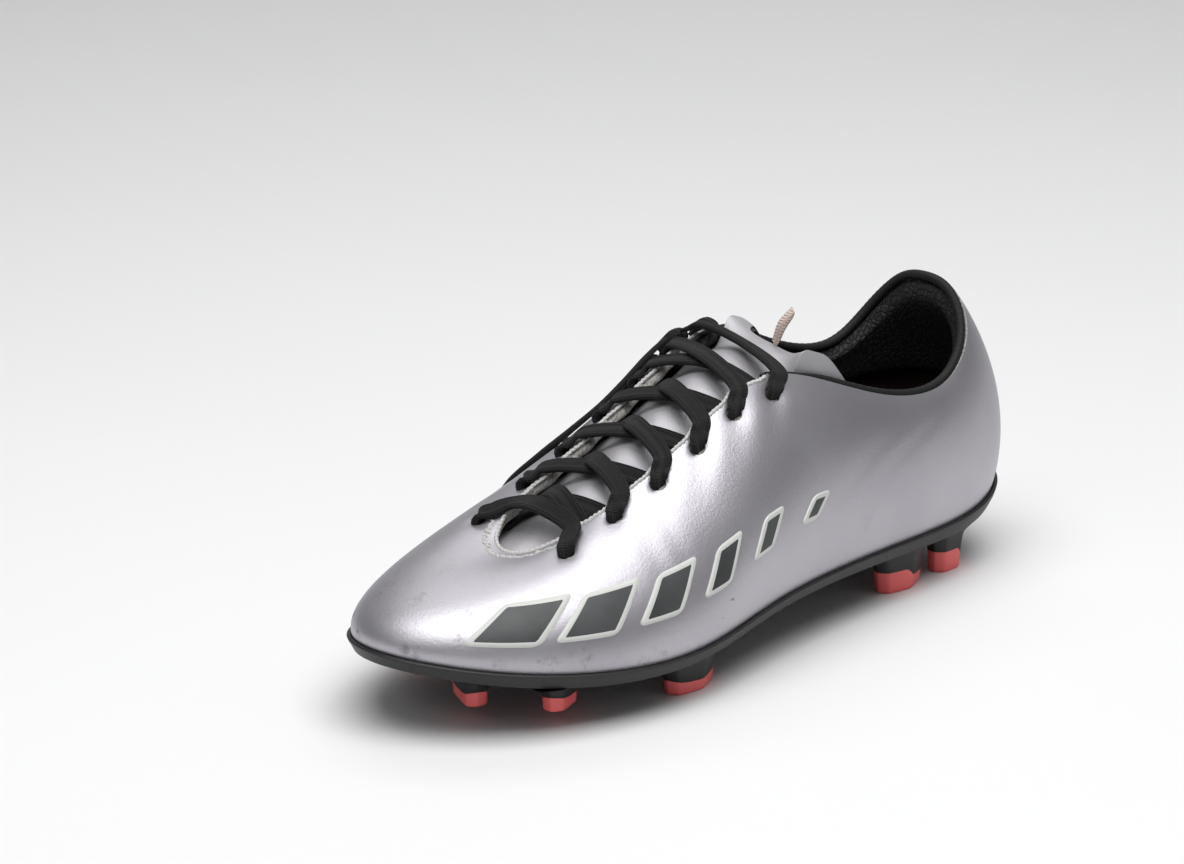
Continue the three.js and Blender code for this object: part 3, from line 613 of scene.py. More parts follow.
SILVER = silver_skin()
FELT = felt("grey_felt", (0.60, 0.585, 0.55), (0.24, 0.23, 0.21))
WHITE_THREAD = thread("white_thread", (0.86, 0.85, 0.83), (0.42, 0.41, 0.40))
LACE = woven_cord()
COLLAR = black_grain()
PIPING = black_cord()
LINING = knit("lining_cloth", (0.045, 0.010, 0.011), (0.012, 0.003, 0.004), 1.1)
COVER = knit("cover_cloth", (0.055, 0.013, 0.014), (0.016, 0.004, 0.005), 1.3)
TONGUE_CLOTH = knit("tongue_padding", (0.035, 0.035, 0.037), (0.008, 0.008, 0.009), 0.9)
PLATE = moulded("plate_black", (0.014, 0.0145, 0.015), (0.006, 0.0063, 0.0066), 0.42)
TIP = moulded("coral_tip", (0.95, 0.19, 0.18), (0.86, 0.11, 0.11), 0.3, 700, 0.2)
AGLET = moulded("aglet_black", (0.03, 0.03, 0.032), (0.012, 0.012, 0.013), 0.2)
FILM = side_film()
TAB = herringbone()
TONGUE = soft_skin()
BOARD = fibre_board()
FOAM = pressed_foam()

# ---- Making meshes ----

SHARP_ANGLE = math.radians(50)


def net(rows, columns, round_rows=False, round_columns=False):
    """The quads of a grid of rows by columns, and each corner's row and column before it wraps."""
    i, j = np.meshgrid(
        np.arange(rows - (not round_rows)), np.arange(columns - (not round_columns)), indexing="ij"
    )
    steps = np.array([[0, 0], [1, 0], [1, 1], [0, 1]])
    corners = np.stack([i.ravel(), j.ravel()], -1)[:, None, :] + steps[None]
    quads = (corners[..., 0] % rows) * columns + corners[..., 1] % columns
    return quads, corners


def turned_out(vertices, faces):
    """Whether the volume inside the faces, summed as fans from the origin, is positive."""
    total = 0.0
    for size in {len(face) for face in faces}:
        some = vertices[np.array([face for face in faces if len(face) == size])]
        for k in range(1, size - 1):
            total += np.sum(some[:, 0] * np.cross(some[:, k], some[:, k + 1]))
    return total > 0


class Shape:
    """Vertices, faces and the UV of each face's corners, that one piece is gathered from."""

    def __init__(self):
        self.vertices = []
        self.faces = []
        self.uvs = []
        self.slots = []
        self.count = 0

    def add(self, vertices, faces, uvs=None, slot=0):
        """Adds a closed shell, turned so that its faces point outwards."""
        vertices = np.asarray(vertices, float).reshape(-1, 3)
        faces = [list(face) for face in faces]
        if uvs is None:
            uvs = [np.zeros((len(face), 2)) for face in faces]
        if not turned_out(vertices - vertices.mean(0), faces):
            faces = [face[::-1] for face in faces]
            uvs = [uv[::-1] for uv in uvs]
        self.vertices.append(vertices)
        self.faces += [[v + self.count for v in face] for face in faces]
        self.uvs += list(uvs)
        self.slots += [slot] * len(faces) if np.isscalar(slot) else list(slot)
        self.count += len(vertices)
        return self

    def loft(self, sections, closed=False):
        """Closed sections joined along their run. UV holds millimetres along the run and round it."""
        rows, columns = sections.shape[:2]
        quads, corners = net(rows, columns, closed, True)
        along = np.linalg.norm(np.diff(sections.mean(1), axis=0), axis=-1).mean()
        loop = np.vstack([sections[rows // 2], sections[rows // 2][:1]])
        about = np.linalg.norm(np.diff(loop, axis=0), axis=-1).mean()
        uvs = corners * [along, about]
        faces = quads.tolist()
        if not closed:
            caps = [np.arange(columns)[::-1], np.arange(columns) + (rows - 1) * columns]
            faces += [cap.tolist() for cap in caps]
            uvs = [*uvs, *(np.zeros((columns, 2)) for _ in caps)]
        return self.add(sections, faces, list(uvs))

    def shell(self, outer, inner, uv=None):
        """A sheet's outer and inner net, joined by a strip round their rim."""
        rows, columns = outer.shape[:2]
        quads, _ = net(rows, columns)
        count = rows * columns
        grid = np.arange(count).reshape(rows, columns)
        rim = np.concatenate([grid[0, :-1], grid[:-1, -1], grid[-1, :0:-1], grid[:0:-1, 0]])
        after = np.roll(rim, -1)
        strips = np.stack([rim, after, after + count, rim + count], -1)
        faces = np.vstack([quads[:, ::-1], quads + count, strips])
        if uv is None:
            i, j = np.meshgrid(np.arange(rows), np.arange(columns), indexing="ij")
            along = np.linalg.norm(np.diff(outer, axis=0), axis=-1).mean()
            across = np.linalg.norm(np.diff(outer, axis=1), axis=-1).mean()
            uv = np.stack([i * along, j * across], -1)
        uvs = np.concatenate([uv.reshape(-1, 2)] * 2)[faces]
        both = np.concatenate([outer.reshape(-1, 3), inner.reshape(-1, 3)])
        return self.add(both, faces.tolist(), list(uvs))

    def piece(self, name, finishes, replaces=(), slot=None, body="shoe", weld=False):
        """The finished object, riding on its body in the row frame."""
        mesh = bpy.data.meshes.new(name)
        mesh.from_pydata(to_frame(np.vstack(self.vertices)).tolist(), [], self.faces)
        mesh.uv_layers.new(name="UVMap")
        mesh.uv_layers[0].data.foreach_set("uv", np.concatenate(self.uvs).astype(np.float32).ravel())
        for finish in finishes:
            mesh.materials.append(finish.material)
        mesh.polygons.foreach_set("material_index", np.array(self.slots, np.int32))
        mesh.polygons.foreach_set("use_smooth", np.ones(len(self.faces), bool))
        made = bpy.data.objects.new(name, mesh)
        bpy.context.scene.collection.objects.link(made)
        if weld:
            work = bmesh.new()
            work.from_mesh(mesh)
            bmesh.ops.remove_doubles(work, verts=work.verts, dist=1e-6)
            work.to_mesh(mesh)
            work.free()
        mesh.set_sharp_from_angle(angle=SHARP_ANGLE)
        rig.ride(made, body)
        if replaces:
            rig.replaces(made, *([replaces] if isinstance(replaces, str) else replaces))
        if slot:
            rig.slot(made, slot)
        return made


def through(points, at):
    """The centripetal Catmull-Rom curve through points (..., n, 3), at shares of its run from 0 to 1."""
    points = np.asarray(points, float)
    n = points.shape[-2]
    first = 2 * points[..., :1, :] - points[..., 1:2, :]
    last = 2 * points[..., -1:, :] - points[..., -2:-1, :]
    p = np.concatenate([first, points, last], -2)
    run = np.asarray(at, float) * (n - 1)
    i = np.minimum(run.astype(int), n - 2)
    w = (run - i)[:, None]
    a, b, c, d = (p[..., i + k, :] for k in range(4))
    before, here, after = (
        np.sqrt(np.linalg.norm(y - x, axis=-1, keepdims=True)) for x, y in ((a, b), (b, c), (c, d))
    )
    start = ((b - a) / before - (c - a) / (before + here) + (c - b) / here) * here
    end = ((c - b) / here - (d - b) / (here + after) + (d - c) / after) * here
    return (
        (2 * w**3 - 3 * w**2 + 1) * b
        + (w**3 - 2 * w**2 + w) * start
        + (3 * w**2 - 2 * w**3) * c
        + (w**3 - w**2) * end
    )


def evenly(path, spacing):
    """Shares of a finely drawn path at which its points lie a spacing apart."""
    steps = np.linalg.norm(np.diff(path, axis=0), axis=-1)
    run = np.concatenate([[0], np.cumsum(steps)])
    count = max(3, int(round(run[-1] / spacing)) + 1)
    return np.interp(np.linspace(0, run[-1], count), run, np.linspace(0, 1, len(path)))


def power(value, exponent):
    """The value's size to an exponent, with its sign kept."""
    return np.sign(value) * np.abs(value) ** exponent


LACE_SIDES, LACE_RIBS = 48, 6
LACE_SQUARENESS, LACE_SWELL = 0.45, 0.17


def ribbon(stops, spacing=0.9):
    """A flat lace with blunt ends along stops of (place, width's direction, width, thickness).

    Its section is a superellipse whose thickness swells and sinks in a cosine, once for each rib.
    """
    places, wides, widths, thicks = (np.array(column, float) for column in zip(*stops))
    fine = through(places, np.linspace(0, 1, 24 * (len(stops) - 1) + 1))
    share = evenly(fine, spacing)
    centre = through(places, share)
    tangent = unit(np.gradient(centre, axis=0))
    at = share * (len(stops) - 1)
    known = np.arange(len(stops))
    wide = np.stack([np.interp(at, known, unit(wides)[:, k]) for k in range(3)], -1)
    wide = unit(wide - dot(wide, tangent) * tangent)
    thick = np.cross(tangent, wide)
    width = np.interp(at, known, widths)[:, None] / 2
    thickness = np.interp(at, known, thicks)[:, None] / 2
    end = np.minimum(np.arange(len(share)), np.arange(len(share))[::-1])[:, None]
    width = width * np.clip(0.8 + 0.1 * end, 0, 1)
    thickness = thickness * np.clip(0.5 + 0.25 * end, 0, 1)
    turn = 2 * math.pi * np.arange(LACE_SIDES) / LACE_SIDES
    across, over = power(np.cos(turn), LACE_SQUARENESS), power(np.sin(turn), LACE_SQUARENESS)
    rib = np.cos(math.pi * (across * LACE_RIBS + LACE_RIBS + 1))
    swell = 1 + LACE_SWELL * rib * (np.abs(across) < 0.97)
    section = (
        centre[:, None]
        + wide[:, None] * (width * across)[..., None]
        + thick[:, None] * (thickness * over * swell)[..., None]
    )
    return section, centre


def dress(node, finish):
    """Gives a CAD node that stays a procedural material."""
    mesh = frame["nodes"][node].data
    mesh.materials.clear()
    mesh.materials.append(finish.material)


# ---- The throat, as the lace and the edges follow it ----

FELT_REACH = 15
SETBACK, FIRST_SETBACK = 7.5, 12
RISE = unit(np.array([0.35, 0, 1]))


def eyelet_pair(k):
    """Where pair k lies: (p, q) on the lateral side, then on the medial side."""
    p = lerp(FIRST_EYELET, LAST_EYELET, k / (EYELET_PAIRS - 1))
    setback = FIRST_SETBACK if k == 0 else SETBACK
    return [(at, float(below_edge(at, setback))) for at in (p, 1 - p)]


eyelets = [eyelet_pair(k) for k in range(EYELET_PAIRS)]


def crown(u):
    """Height of the tongue's middle over the line between the throat's edges."""
    return lerp(1.5, 4, np.clip(u, 0, 1)) + CROWN_RISE * smooth(u, 0.92, TONGUE_END)


def tongue_at(u, v, depth=0.0):
    """The tongue at u along the throat and v across: a curve through its flanks and its middle."""
    u = np.atleast_1d(np.asarray(u, float))
    p = lerp(THROAT_FOOT, THROAT_TOP, u)
    past = smooth(u, 0.9, 1.12)
    reach = lerp(11, 4, past)
    side = TONGUE_DEPTH + 1.6 * past + depth

    def flank(at, share):
        return inside(at, below_edge(at, reach * share + 0.01), side)

    middle = (on_last(p, 1) + on_last(1 - p, 1)) / 2
    middle = middle + RISE * (crown(u) - TONGUE_DEPTH * 0.6 - depth)[:, None]
    stops = [flank(p, s) for s in (1, 0.5, 0)] + [middle] + [flank(1 - p, s) for s in (0, 0.5, 1)]
    return through(np.stack(stops, 1), np.atleast_1d(v))


def throat_direction(p):
    """The unit direction along the throat's edge, towards the toe."""
    way = on_last(p + 0.01, 1) - on_last(p - 0.01, 1)
    return unit(way if way[0] > 0 else -way)


# ---- The lace and its bow ----

LACE_OVER = SEAM + LACE_THICKNESS / 2 + 0.4
LACE_UNDER = LINING_FACE + 0.7 + LACE_THICKNESS / 2
LOW = 2.6
HIGH = LOW + LACE_THICKNESS + 1
LACE_LEAN = 0.16
KNOT_P, KNOT_DROP = 0.759, 8
beside_knot = on_last(KNOT_P + np.array([-0.01, 0.01]), below_edge(KNOT_P, KNOT_DROP))
WALL_RUN = np.linalg.norm(beside_knot[1] - beside_knot[0]) / 0.02
KNOT_LENGTH, KNOT_HEIGHT, KNOT_DEPTH = 12, 9, 5.6
AGLET_LENGTH, AGLET_RADIUS = 13, 1.6


def lace_stop(p, q, depth, width=LACE_WIDTH, thickness=LACE_THICKNESS):
    return inside(p, q, depth), throat_direction(p), width, thickness


def eyelet_pass(k, side, lean_over, lean_under):
    """One pass: over the throat's edge, down through the hole, and back under the edge.

    The strands lean along the throat by shares of the way to the next pair.
    """
    p, q = eyelets[k][side]
    pitch = (LAST_EYELET - FIRST_EYELET) / (EYELET_PAIRS - 1) * (-1 if side else 1)
    near = float(below_edge(p, 1.5))
    half = lerp(q, 1, 0.45)
    close = lerp(q, 1, 0.06)
    over, under = lean_over * pitch, lean_under * pitch
    return [
        lace_stop(p + over, near, -LACE_OVER - 0.5, 5.9, 1.6),
        lace_stop(p + over / 2, half, -LACE_OVER, 5.9, 1.7),
        lace_stop(p, close, -LACE_OVER + 0.35, 5.6, 1.9),
        lace_stop(p, q - 0.004, LINING_FACE / 2, 4.9, 2.6),
        lace_stop(p, close, LACE_UNDER - 0.2, 4.8, 2.2),
        lace_stop(p + under / 2, half, LACE_UNDER, 5.6, 1.8),
        lace_stop(p + under, near, LACE_UNDER),
    ]


def crossing(k, lift, width=LACE_WIDTH):
    """Where two strands cross over the tongue's middle."""
    p = lerp(FIRST_EYELET, LAST_EYELET, (k + 0.5) / (EYELET_PAIRS - 1))
    u = (p - THROAT_FOOT) / (THROAT_TOP - THROAT_FOOT)
    return tongue_at(u, 0.5)[0, 0] + RISE * lift, throat_direction(p), width, LACE_THICKNESS


def lace_end(first_side):
    """One end of the lace: up out of each hole, over the edge, and under the other side's edge.

    The bar's ends and the last medial pass go down into their holes instead. A strand that leaves
    the lateral side lies on top where two cross.
    """
    stops = []
    for k in range(EYELET_PAIRS):
        side = (first_side + k) % 2
        if k == 0:
            stops += eyelet_pass(k, side, 0, LACE_LEAN)
        elif k == EYELET_PAIRS - 1 and side == 1:
            stops += eyelet_pass(k, side, -LACE_LEAN, LACE_LEAN)
        else:
            stops += eyelet_pass(k, side, LACE_LEAN, -LACE_LEAN)[::-1]
        if k < EYELET_PAIRS - 1:
            stops.append(crossing(k, LOW if side else HIGH))
    return stops


def on_wall(back, drop, lift):
    """A place on the medial wall: behind the knot's middle, below the edge and off the wall."""
    p = KNOT_P + np.asarray(back, float) / WALL_RUN
    return inside(p, below_edge(p, drop), -np.asarray(lift, float))


def wall_stops(route):
    """Ribbon stops along a route on the wall, with the width square to both its run and the wall."""
    back, drop, lift = np.array(route, float).T
    places = on_wall(back, drop, lift)
    out = on_wall(back, drop, lift + 1) - places
    way = places[np.minimum(np.arange(len(back)) + 1, len(back) - 1)]
    way = way - places[np.maximum(np.arange(len(back)) - 1, 0)]
    wide = unit(np.cross(out, way))
    width = lerp(4.2, LACE_WIDTH, np.clip((4 - lift) / 2.4, 0, 1))
    return list(zip(places, wide, width, np.full(len(back), LACE_THICKNESS)))


knot_at = on_wall(0, KNOT_DROP, 0.5 + KNOT_DEPTH / 2)
knot_out = outward(KNOT_P, below_edge(KNOT_P, KNOT_DROP))
knot_along = unit(
    on_wall(-1, KNOT_DROP, 0.5 + KNOT_DEPTH / 2) - on_wall(1, KNOT_DROP, 0.5 + KNOT_DEPTH / 2)
)
knot_down = unit(np.cross(knot_out, knot_along))
knot_along = np.cross(knot_down, knot_out)


def into_knot(back):
    top = KNOT_DROP - KNOT_HEIGHT / 2 - 4 * SEAM
    return [
        (on_wall(back, 0.1, 2.4), knot_along, 3.6, LACE_THICKNESS),
        (on_wall(back, top, 3.4), knot_along, 3.6, LACE_THICKNESS),
    ]


def under_edge(back, reach, depth):
    p = KNOT_P + back / WALL_RUN
    down = unit(on_last(p, below_edge(p, 2)) - on_last(p, 1))
    return inside(p, 1, depth) - down * reach, throat_direction(p), 4.4, LACE_THICKNESS


lateral_end = lace_end(0)
medial_end = lace_end(1)
medial_end += [crossing(EYELET_PAIRS - 1, LOW + 0.6, 5.4), under_edge(-3.4, 3.4, -1.6)]
medial_end += into_knot(-3.4)
lateral_end += [
    under_edge(-1.5, 2.2, LACE_UNDER - 0.4),
    under_edge(3.4, 3.6, 1.2),
    under_edge(3.4, 2, -2.2),
]
lateral_end += into_knot(3.4)
lace_stops = medial_end[::-1] + [crossing(-0.6, HIGH + 3)] + lateral_end
Shape().loft(ribbon(lace_stops)[0]).piece("threaded_lace", [LACE], "lace", "lace_cord")

# Places on the medial wall: behind the knot, below the edge, and off the wall.
FRONT_LOOP = [
    [-8.4, 5.4, 4],
    [-12, 6, 4],
    [-18, 8, 3.6],
    [-26, 12, 2.4],
    [-34, 17.5, 1.5],
    [-42, 24, 1.4],
    [-49, 32, 1.4],
    [-52, 41, 1.4],
    [-49, 50, 1.4],
    [-41, 55, 1.4],
    [-32, 53, 1.4],
    [-25, 46, 1.4],
    [-20, 37, 1.4],
    [-16.5, 28, 1.5],
    [-14, 21, 2.2],
    [-11.8, 15.5, 3.4],
    [-8.3, 11, 4],
]
REAR_LOOP = [
    [8.8, 5.4, 4],
    [12, 5.6, 3.6],
    [19, 7, 2.4],
    [28, 9, 1.5],
    [37, 11, 1.4],
    [46, 14, 1.4],
    [53, 20, 1.4],
    [55, 28, 1.4],
    [51, 36, 1.4],
    [43, 39.5, 1.4],
    [34, 38, 1.4],
    [26, 33, 1.4],
    [19, 26, 1.4],
    [14, 19.5, 1.8],
    [10.5, 14.5, 3.2],
    [8.8, 11, 4],
]
FRONT_TAIL = [
    [-3.2, 13.4, 3.8],
    [-3.6, 18, 2.8],
    [-4.4, 24, 1.7],
    [-5.4, 31, 1.4],
    [-6.2, 38, 1.4],
    [-6.6, 45, 1.4],
    [-6.8, 53.5, 1.4],
]
REAR_TAIL = [
    [3.2, 13.4, 3.8],
    [3.8, 18, 2.8],
    [5, 24, 1.7],
    [6.6, 31, 1.4],
    [8.2, 38, 1.4],
    [9.8, 45, 1.4],
    [11.6, 53.5, 1.4],
]


def aglet_sections(route):
    """A crimped tube on the tail's end: circles along its last direction, waisted at both ends."""
    before, last = (on_wall(*place) for place in route[-2:])
    way = unit(last - before)
    start = last + way * SEAM + outward(KNOT_P, 0.3) * (AGLET_RADIUS - LACE_THICKNESS / 2)
    side = unit(np.cross(way, [0, 0, 1.0]))
    top = np.cross(side, way)
    share = np.array([0, 0.02, 0.06, 0.14, 0.2, 0.5, 0.85, 0.95, 0.99, 1])
    radius = AGLET_RADIUS * np.array([0.78, 0.94, 1, 0.93, 1, 0.96, 0.9, 0.86, 0.72, 0.5])
    turn = 2 * math.pi * np.arange(20) / 20
    ring = np.cos(turn)[:, None] * side + np.sin(turn)[:, None] * top
    centre = start + way * (share * AGLET_LENGTH)[:, None]
    return centre[:, None] + ring[None] * radius[:, None, None]


def free_lace(name, route, node, length, far_end, with_pieces=()):
    """A loop or tail of the bow, declared as the free cord that it is."""
    section, centre = ribbon(wall_stops(route))
    made = Shape().loft(section).piece(name, [LACE], node, "lace_cord")
    line = to_frame(centre)
    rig.cord(
        made,
        exit=tuple(line[0]),
        length=length,
        diameter=LACE_WIDTH / 1000,
        far_end=far_end,
        stiffness="limp",
        lay="hanging",
        path=line.tolist(),
        with_pieces=list(with_pieces),
    )


free_lace("bow_loop_front", FRONT_LOOP, "lace_loop_front", 0.156, "object")
free_lace("bow_loop_rear", REAR_LOOP, "lace_loop_rear", 0.141, "object")
for end, route, length in (("front", FRONT_TAIL, 0.044), ("rear", REAR_TAIL, 0.041)):
    crimped = (
        Shape()
        .loft(aglet_sections(route))
        .piece("crimped_tip_" + end, [AGLET], "aglet_" + end, "aglet")
    )
    free_lace("bow_tail_" + end, route, "lace_tail_" + end, length, "fitting", [crimped])


def knot_shape():
    """Two swollen folds under one wrapped band: each a superellipse carried round a flat ring."""
    shape = Shape()
    turn = 2 * math.pi * np.arange(48) / 48
    for shift, lean in ((-3.1, 0.25), (3.1, -0.25)):
        ends = [
            knot_at + knot_along * (shift + lean * s * 4) + knot_down * (s * 3.4) + knot_out * 0.1
            for s in (-1.15, -0.5, 0.5, 1.15)
        ]
        stops = [(at, knot_along, w, t) for at, w, t in zip(ends, (4, 5.6, 5.6, 4), (2.2, 3.8, 3.8, 2.2))]
        shape.loft(ribbon(stops, 0.6)[0])
    ring = (
        knot_at
        + knot_down * (power(np.cos(turn), 0.8) * 3.9)[:, None]
        + knot_out * (power(np.sin(turn), 0.8) * 2.15)[:, None]
    )
    tangent = unit(np.roll(ring, -1, 0) - np.roll(ring, 1, 0))
    thick = np.cross(tangent, knot_along)
    about = 2 * math.pi * np.arange(32) / 32
    across, over = power(np.cos(about), 0.6), power(np.sin(about), 0.6)
    swell = 1 + 0.12 * np.cos(5 * math.pi * across)
    shape.loft(
        ring[:, None]
        + knot_along * (across * 2.5)[None, :, None]
        + thick[:, None] * (over * swell * 0.75)[None, :, None],
        closed=True,
    )
    return shape


knot_shape().piece("tied_knot", [LACE], "lace_knot", "lace_cord")

# ---- The upper ----


def along_throat(p):
    """The eyelet count at p, mirrored on the medial side: 0 at the first pair and 5 at the last."""
    near = np.minimum(p % 1, 1 - p % 1)
    return (near - FIRST_EYELET) / (LAST_EYELET - FIRST_EYELET) * (EYELET_PAIRS - 1)


def edge_wave(p):
    """How far the throat's edge stands above its mean line: sines of the eyelet count."""
    k = along_throat(p)
    inside_throat = smooth(k, -1.0, -0.3) * (1 - smooth(k, 5.0, 5.5))
    wavy = 0.75 * np.sin(2 * math.pi * (k + 0.18)) + 0.3 * np.sin(4 * math.pi * k + 1)
    return wavy * inside_throat


def relief(p, q):
    """How far the skin stands proud: it sinks at each eyelet, and folds softly where the foot bends."""
    points = on_last(p, q)
    out = np.zeros(points.shape[:-1])
    for pair in eyelets:
        for at in pair:
            far = np.linalg.norm(points - on_last(*at), axis=-1)
            out -= 0.55 * np.exp(-((far / 4.2) ** 2))
    k = along_throat(p)
    pulled = np.exp(-(((q - 0.86) / 0.11) ** 2)) * smooth(k, -0.4, 0.3) * (1 - smooth(k, 5, 5.6))
    out += 0.14 * pulled * np.cos(2 * math.pi * (k - 0.5))
    near = np.minimum(p % 1, 1 - p % 1)
    for middle, lean, width, height in (
        (0.352, 0.055, 0.007, 0.22),
        (0.336, 0.06, 0.006, 0.16),
        (0.2, -0.1, 0.011, 0.2),
        (0.178, -0.12, 0.01, 0.16),
        (0.04, 0.02, 0.01, 0.2),
    ):
        line = near - middle - lean * (q - 0.45)
        along = np.exp(-(((q - 0.55) / 0.25) ** 2))
        out -= height * along * np.exp(-((line / width) ** 2))
    return out


def skin(p, q, depth):
    """The upper's own surface at a depth, with its relief and the wave along the throat's edge."""
    p, q = np.broadcast_arrays(np.asarray(p, float), np.asarray(q, float))
    lift = edge_wave(p) * smooth(q, 0.9, 1)
    return inside(p, q, depth - relief(p, q)) + up_wall(p) * lift[..., None]


def places_round(count):
    """Places round the shoe, half as far apart along the throat as elsewhere."""
    p = np.linspace(0, 1, 4001)
    near = np.minimum(p, 1 - p)
    density = 1 + 1.1 * smooth(near, 0.2, 0.24) * (1 - smooth(near, 0.455, 0.475))
    run = np.concatenate([[0], np.cumsum((density[1:] + density[:-1]) / 2)])
    return np.interp(np.arange(count) / count, run / run[-1], p)


def open_eyelets(p, q, radius, ring, reach):
    """Moves the grid's points at each eyelet: the square ring round its middle becomes a circle.

    Rings further out go back to their own places in a smooth step. The answer also says which
    points lie within the circle.
    """
    hole = np.zeros(p.shape, bool)
    for pair in eyelets:
        for p0, q0 in pair:
            i0 = int(np.argmin(np.abs(p[:, 0] - p0)))
            j0 = int(np.argmin(np.abs(q[i0] - q0)))
            di, dj = np.meshgrid(np.arange(-reach, reach + 1), np.arange(-reach, reach + 1), indexing="ij")
            i, j = i0 + di, j0 + dj
            kept = (j >= 0) & (j < p.shape[1])
            i, j, di, dj = i[kept], j[kept], di[kept], dj[kept]
            square = np.maximum(np.abs(di), np.abs(dj))
            step = FINE_STEP
            tp = (on_last(p0 + step, q0) - on_last(p0 - step, q0)) / (2 * step)
            tq = (on_last(p0, q0 + step) - on_last(p0, q0 - step)) / (2 * step)
            e1 = unit(tp)
            e2 = unit(tq - dot(tq, e1) * e1)
            turn = np.arctan2(dj, di)
            size = radius * square / ring
            b = size * np.sin(turn) / float(dot(tq, e2)[0])
            a = (size * np.cos(turn) - b * float(dot(tq, e1)[0])) / float(np.linalg.norm(tp))
            back = smooth(square, ring, reach)
            p[i, j] = lerp(p0 + a, p[i, j], back)
            q[i, j] = lerp(q0 + b, q[i, j], back)
            hole[i[square < ring], j[square < ring]] = True
    return hole


# Millimetres of UV once round the shoe and up its wall.
UV_ROUND, UV_UP = 700, 90


def wall(rows, q_of, surface, inner_surface, ring, reach, rim_slot):
    """A shell round the shoe: an outer and an inner net, joined by a strip at every open edge."""
    round_places = places_round(rows)
    q = q_of(round_places)
    p = np.repeat(round_places[:, None], q.shape[1], 1)
    hole = open_eyelets(p, q, EYELET_RADIUS, ring, reach)
    columns = p.shape[1]
    quads, _ = net(rows, columns, True, False)
    quads = quads[~hole.ravel()[quads].any(1)]
    edges = np.stack([quads, np.roll(quads, -1, 1)], -1).reshape(-1, 2)
    key = np.sort(edges, 1) @ [rows * columns, 1]
    _, first, times = np.unique(key, return_index=True, return_counts=True)
    rim = edges[first[times == 1]]
    count = rows * columns
    strips = np.stack([rim[:, 1], rim[:, 0], rim[:, 0] + count, rim[:, 1] + count], -1)
    faces = np.vstack([quads, quads[:, ::-1] + count, strips])
    slots = np.concatenate([np.zeros(len(quads)), np.ones(len(quads)), np.full(len(strips), rim_slot)])
    used = np.zeros(2 * count, bool)
    used[faces] = True
    index = np.cumsum(used) - 1
    vertices = np.concatenate([surface(p, q).reshape(-1, 3), inner_surface(p, q).reshape(-1, 3)])
    uvs = np.stack([p * UV_ROUND, q * UV_UP], -1).reshape(-1, 2)
    uvs = np.vstack([uvs, uvs])[faces]
    wrapped = (uvs[..., 0].max(1) - uvs[..., 0].min(1)) > UV_ROUND / 2
    uvs[wrapped, :, 0] += np.where(uvs[wrapped, :, 0] < UV_ROUND / 2, UV_ROUND, 0)
    shape = Shape()
    shape.add(vertices[used], index[faces].tolist(), list(uvs), slots.astype(int))
    return shape


upper = wall(
    500,
    lambda p: np.repeat(np.linspace(0, 1, 70)[None, :], len(p), 0),
    lambda p, q: skin(p, q, 0.0),
    lambda p, q: skin(p, q, UPPER_WALL),
    ring=3,
    reach=7,
    rim_slot=1,
)
upper.piece("upper_skin", [SILVER, FELT], "upper", "upper_skin")

LINING_TOP = 3.4
lining = wall(
    260,
    lambda p: np.linspace(0.03, below_edge(p, LINING_TOP), 34).T,
    lambda p, q: inside(p, q, LINING_DEPTH),
    lambda p, q: inside(p, q, LINING_FACE),
    ring=1,
    reach=3,
    rim_slot=0,
)
lining.piece("lining_sock", [LINING, LINING], "lining", "lining_cloth")


def felt_edge(start, end):
    """The felt that carries the eyelets: an L-shaped section whose foot caps the throat's edge.

    Its points are (depth, distance below the edge), carried along the throat's edge with its wave.
    """
    depth = np.array([1.25, 1.25, 1.3, 1.6, 2.5, 3.3, 3.75, 3.8, 3.7, 2.9, 2.7, 2.7])
    drop = np.array([FELT_REACH, 4, 0.9, 0.35, 0.15, 0.3, 0.8, 2.2, 2.7, 2.95, 4, FELT_REACH])
    p = np.linspace(start, end, int(abs(end - start) * 1400))
    rough = 0.12 * np.sin(p * 2900) + 0.1 * np.sin(p * 5210 + 1)
    near_edge = (drop < 3).astype(float)
    d = depth[None] + rough[:, None] * near_edge * (drop < 0.5)
    q = below_edge(p[:, None], drop[None] + 0.01)
    points = inside(p[:, None], q, d)
    return points + up_wall(p)[:, None] * (edge_wave(p)[:, None] * near_edge)[..., None]


felt_ends = (COLLAR_END + COLLAR_BLEND, THROAT_TURN)
for side, (start, stop) in (("lateral", felt_ends), ("medial", [1 - end for end in felt_ends])):
    Shape().loft(felt_edge(start, stop)).piece(
        "eyelet_felt_" + side, [FELT], "eyestay_" + side, "stiffener"
    )


def stitches(shape, centres, ways, outs, length, radius):
    """Short round-ended stitches: circles along a low arc, whose radius follows a superellipse."""
    t = np.linspace(-1, 1, 7)
    turn = 2 * math.pi * np.arange(6) / 6
    swell = np.maximum(0.25, (1 - np.abs(t) ** 3)) ** 0.7
    for centre, way, out in zip(centres, unit(ways), unit(outs)):
        side = np.cross(way, out)
        line = centre + way * (t * length / 2)[:, None] - out * (0.45 * radius * t**2)[:, None]
        ring = np.cos(turn)[:, None] * side + np.sin(turn)[:, None] * out
        shape.loft(line[:, None] + ring[None] * (radius * swell)[:, None, None])


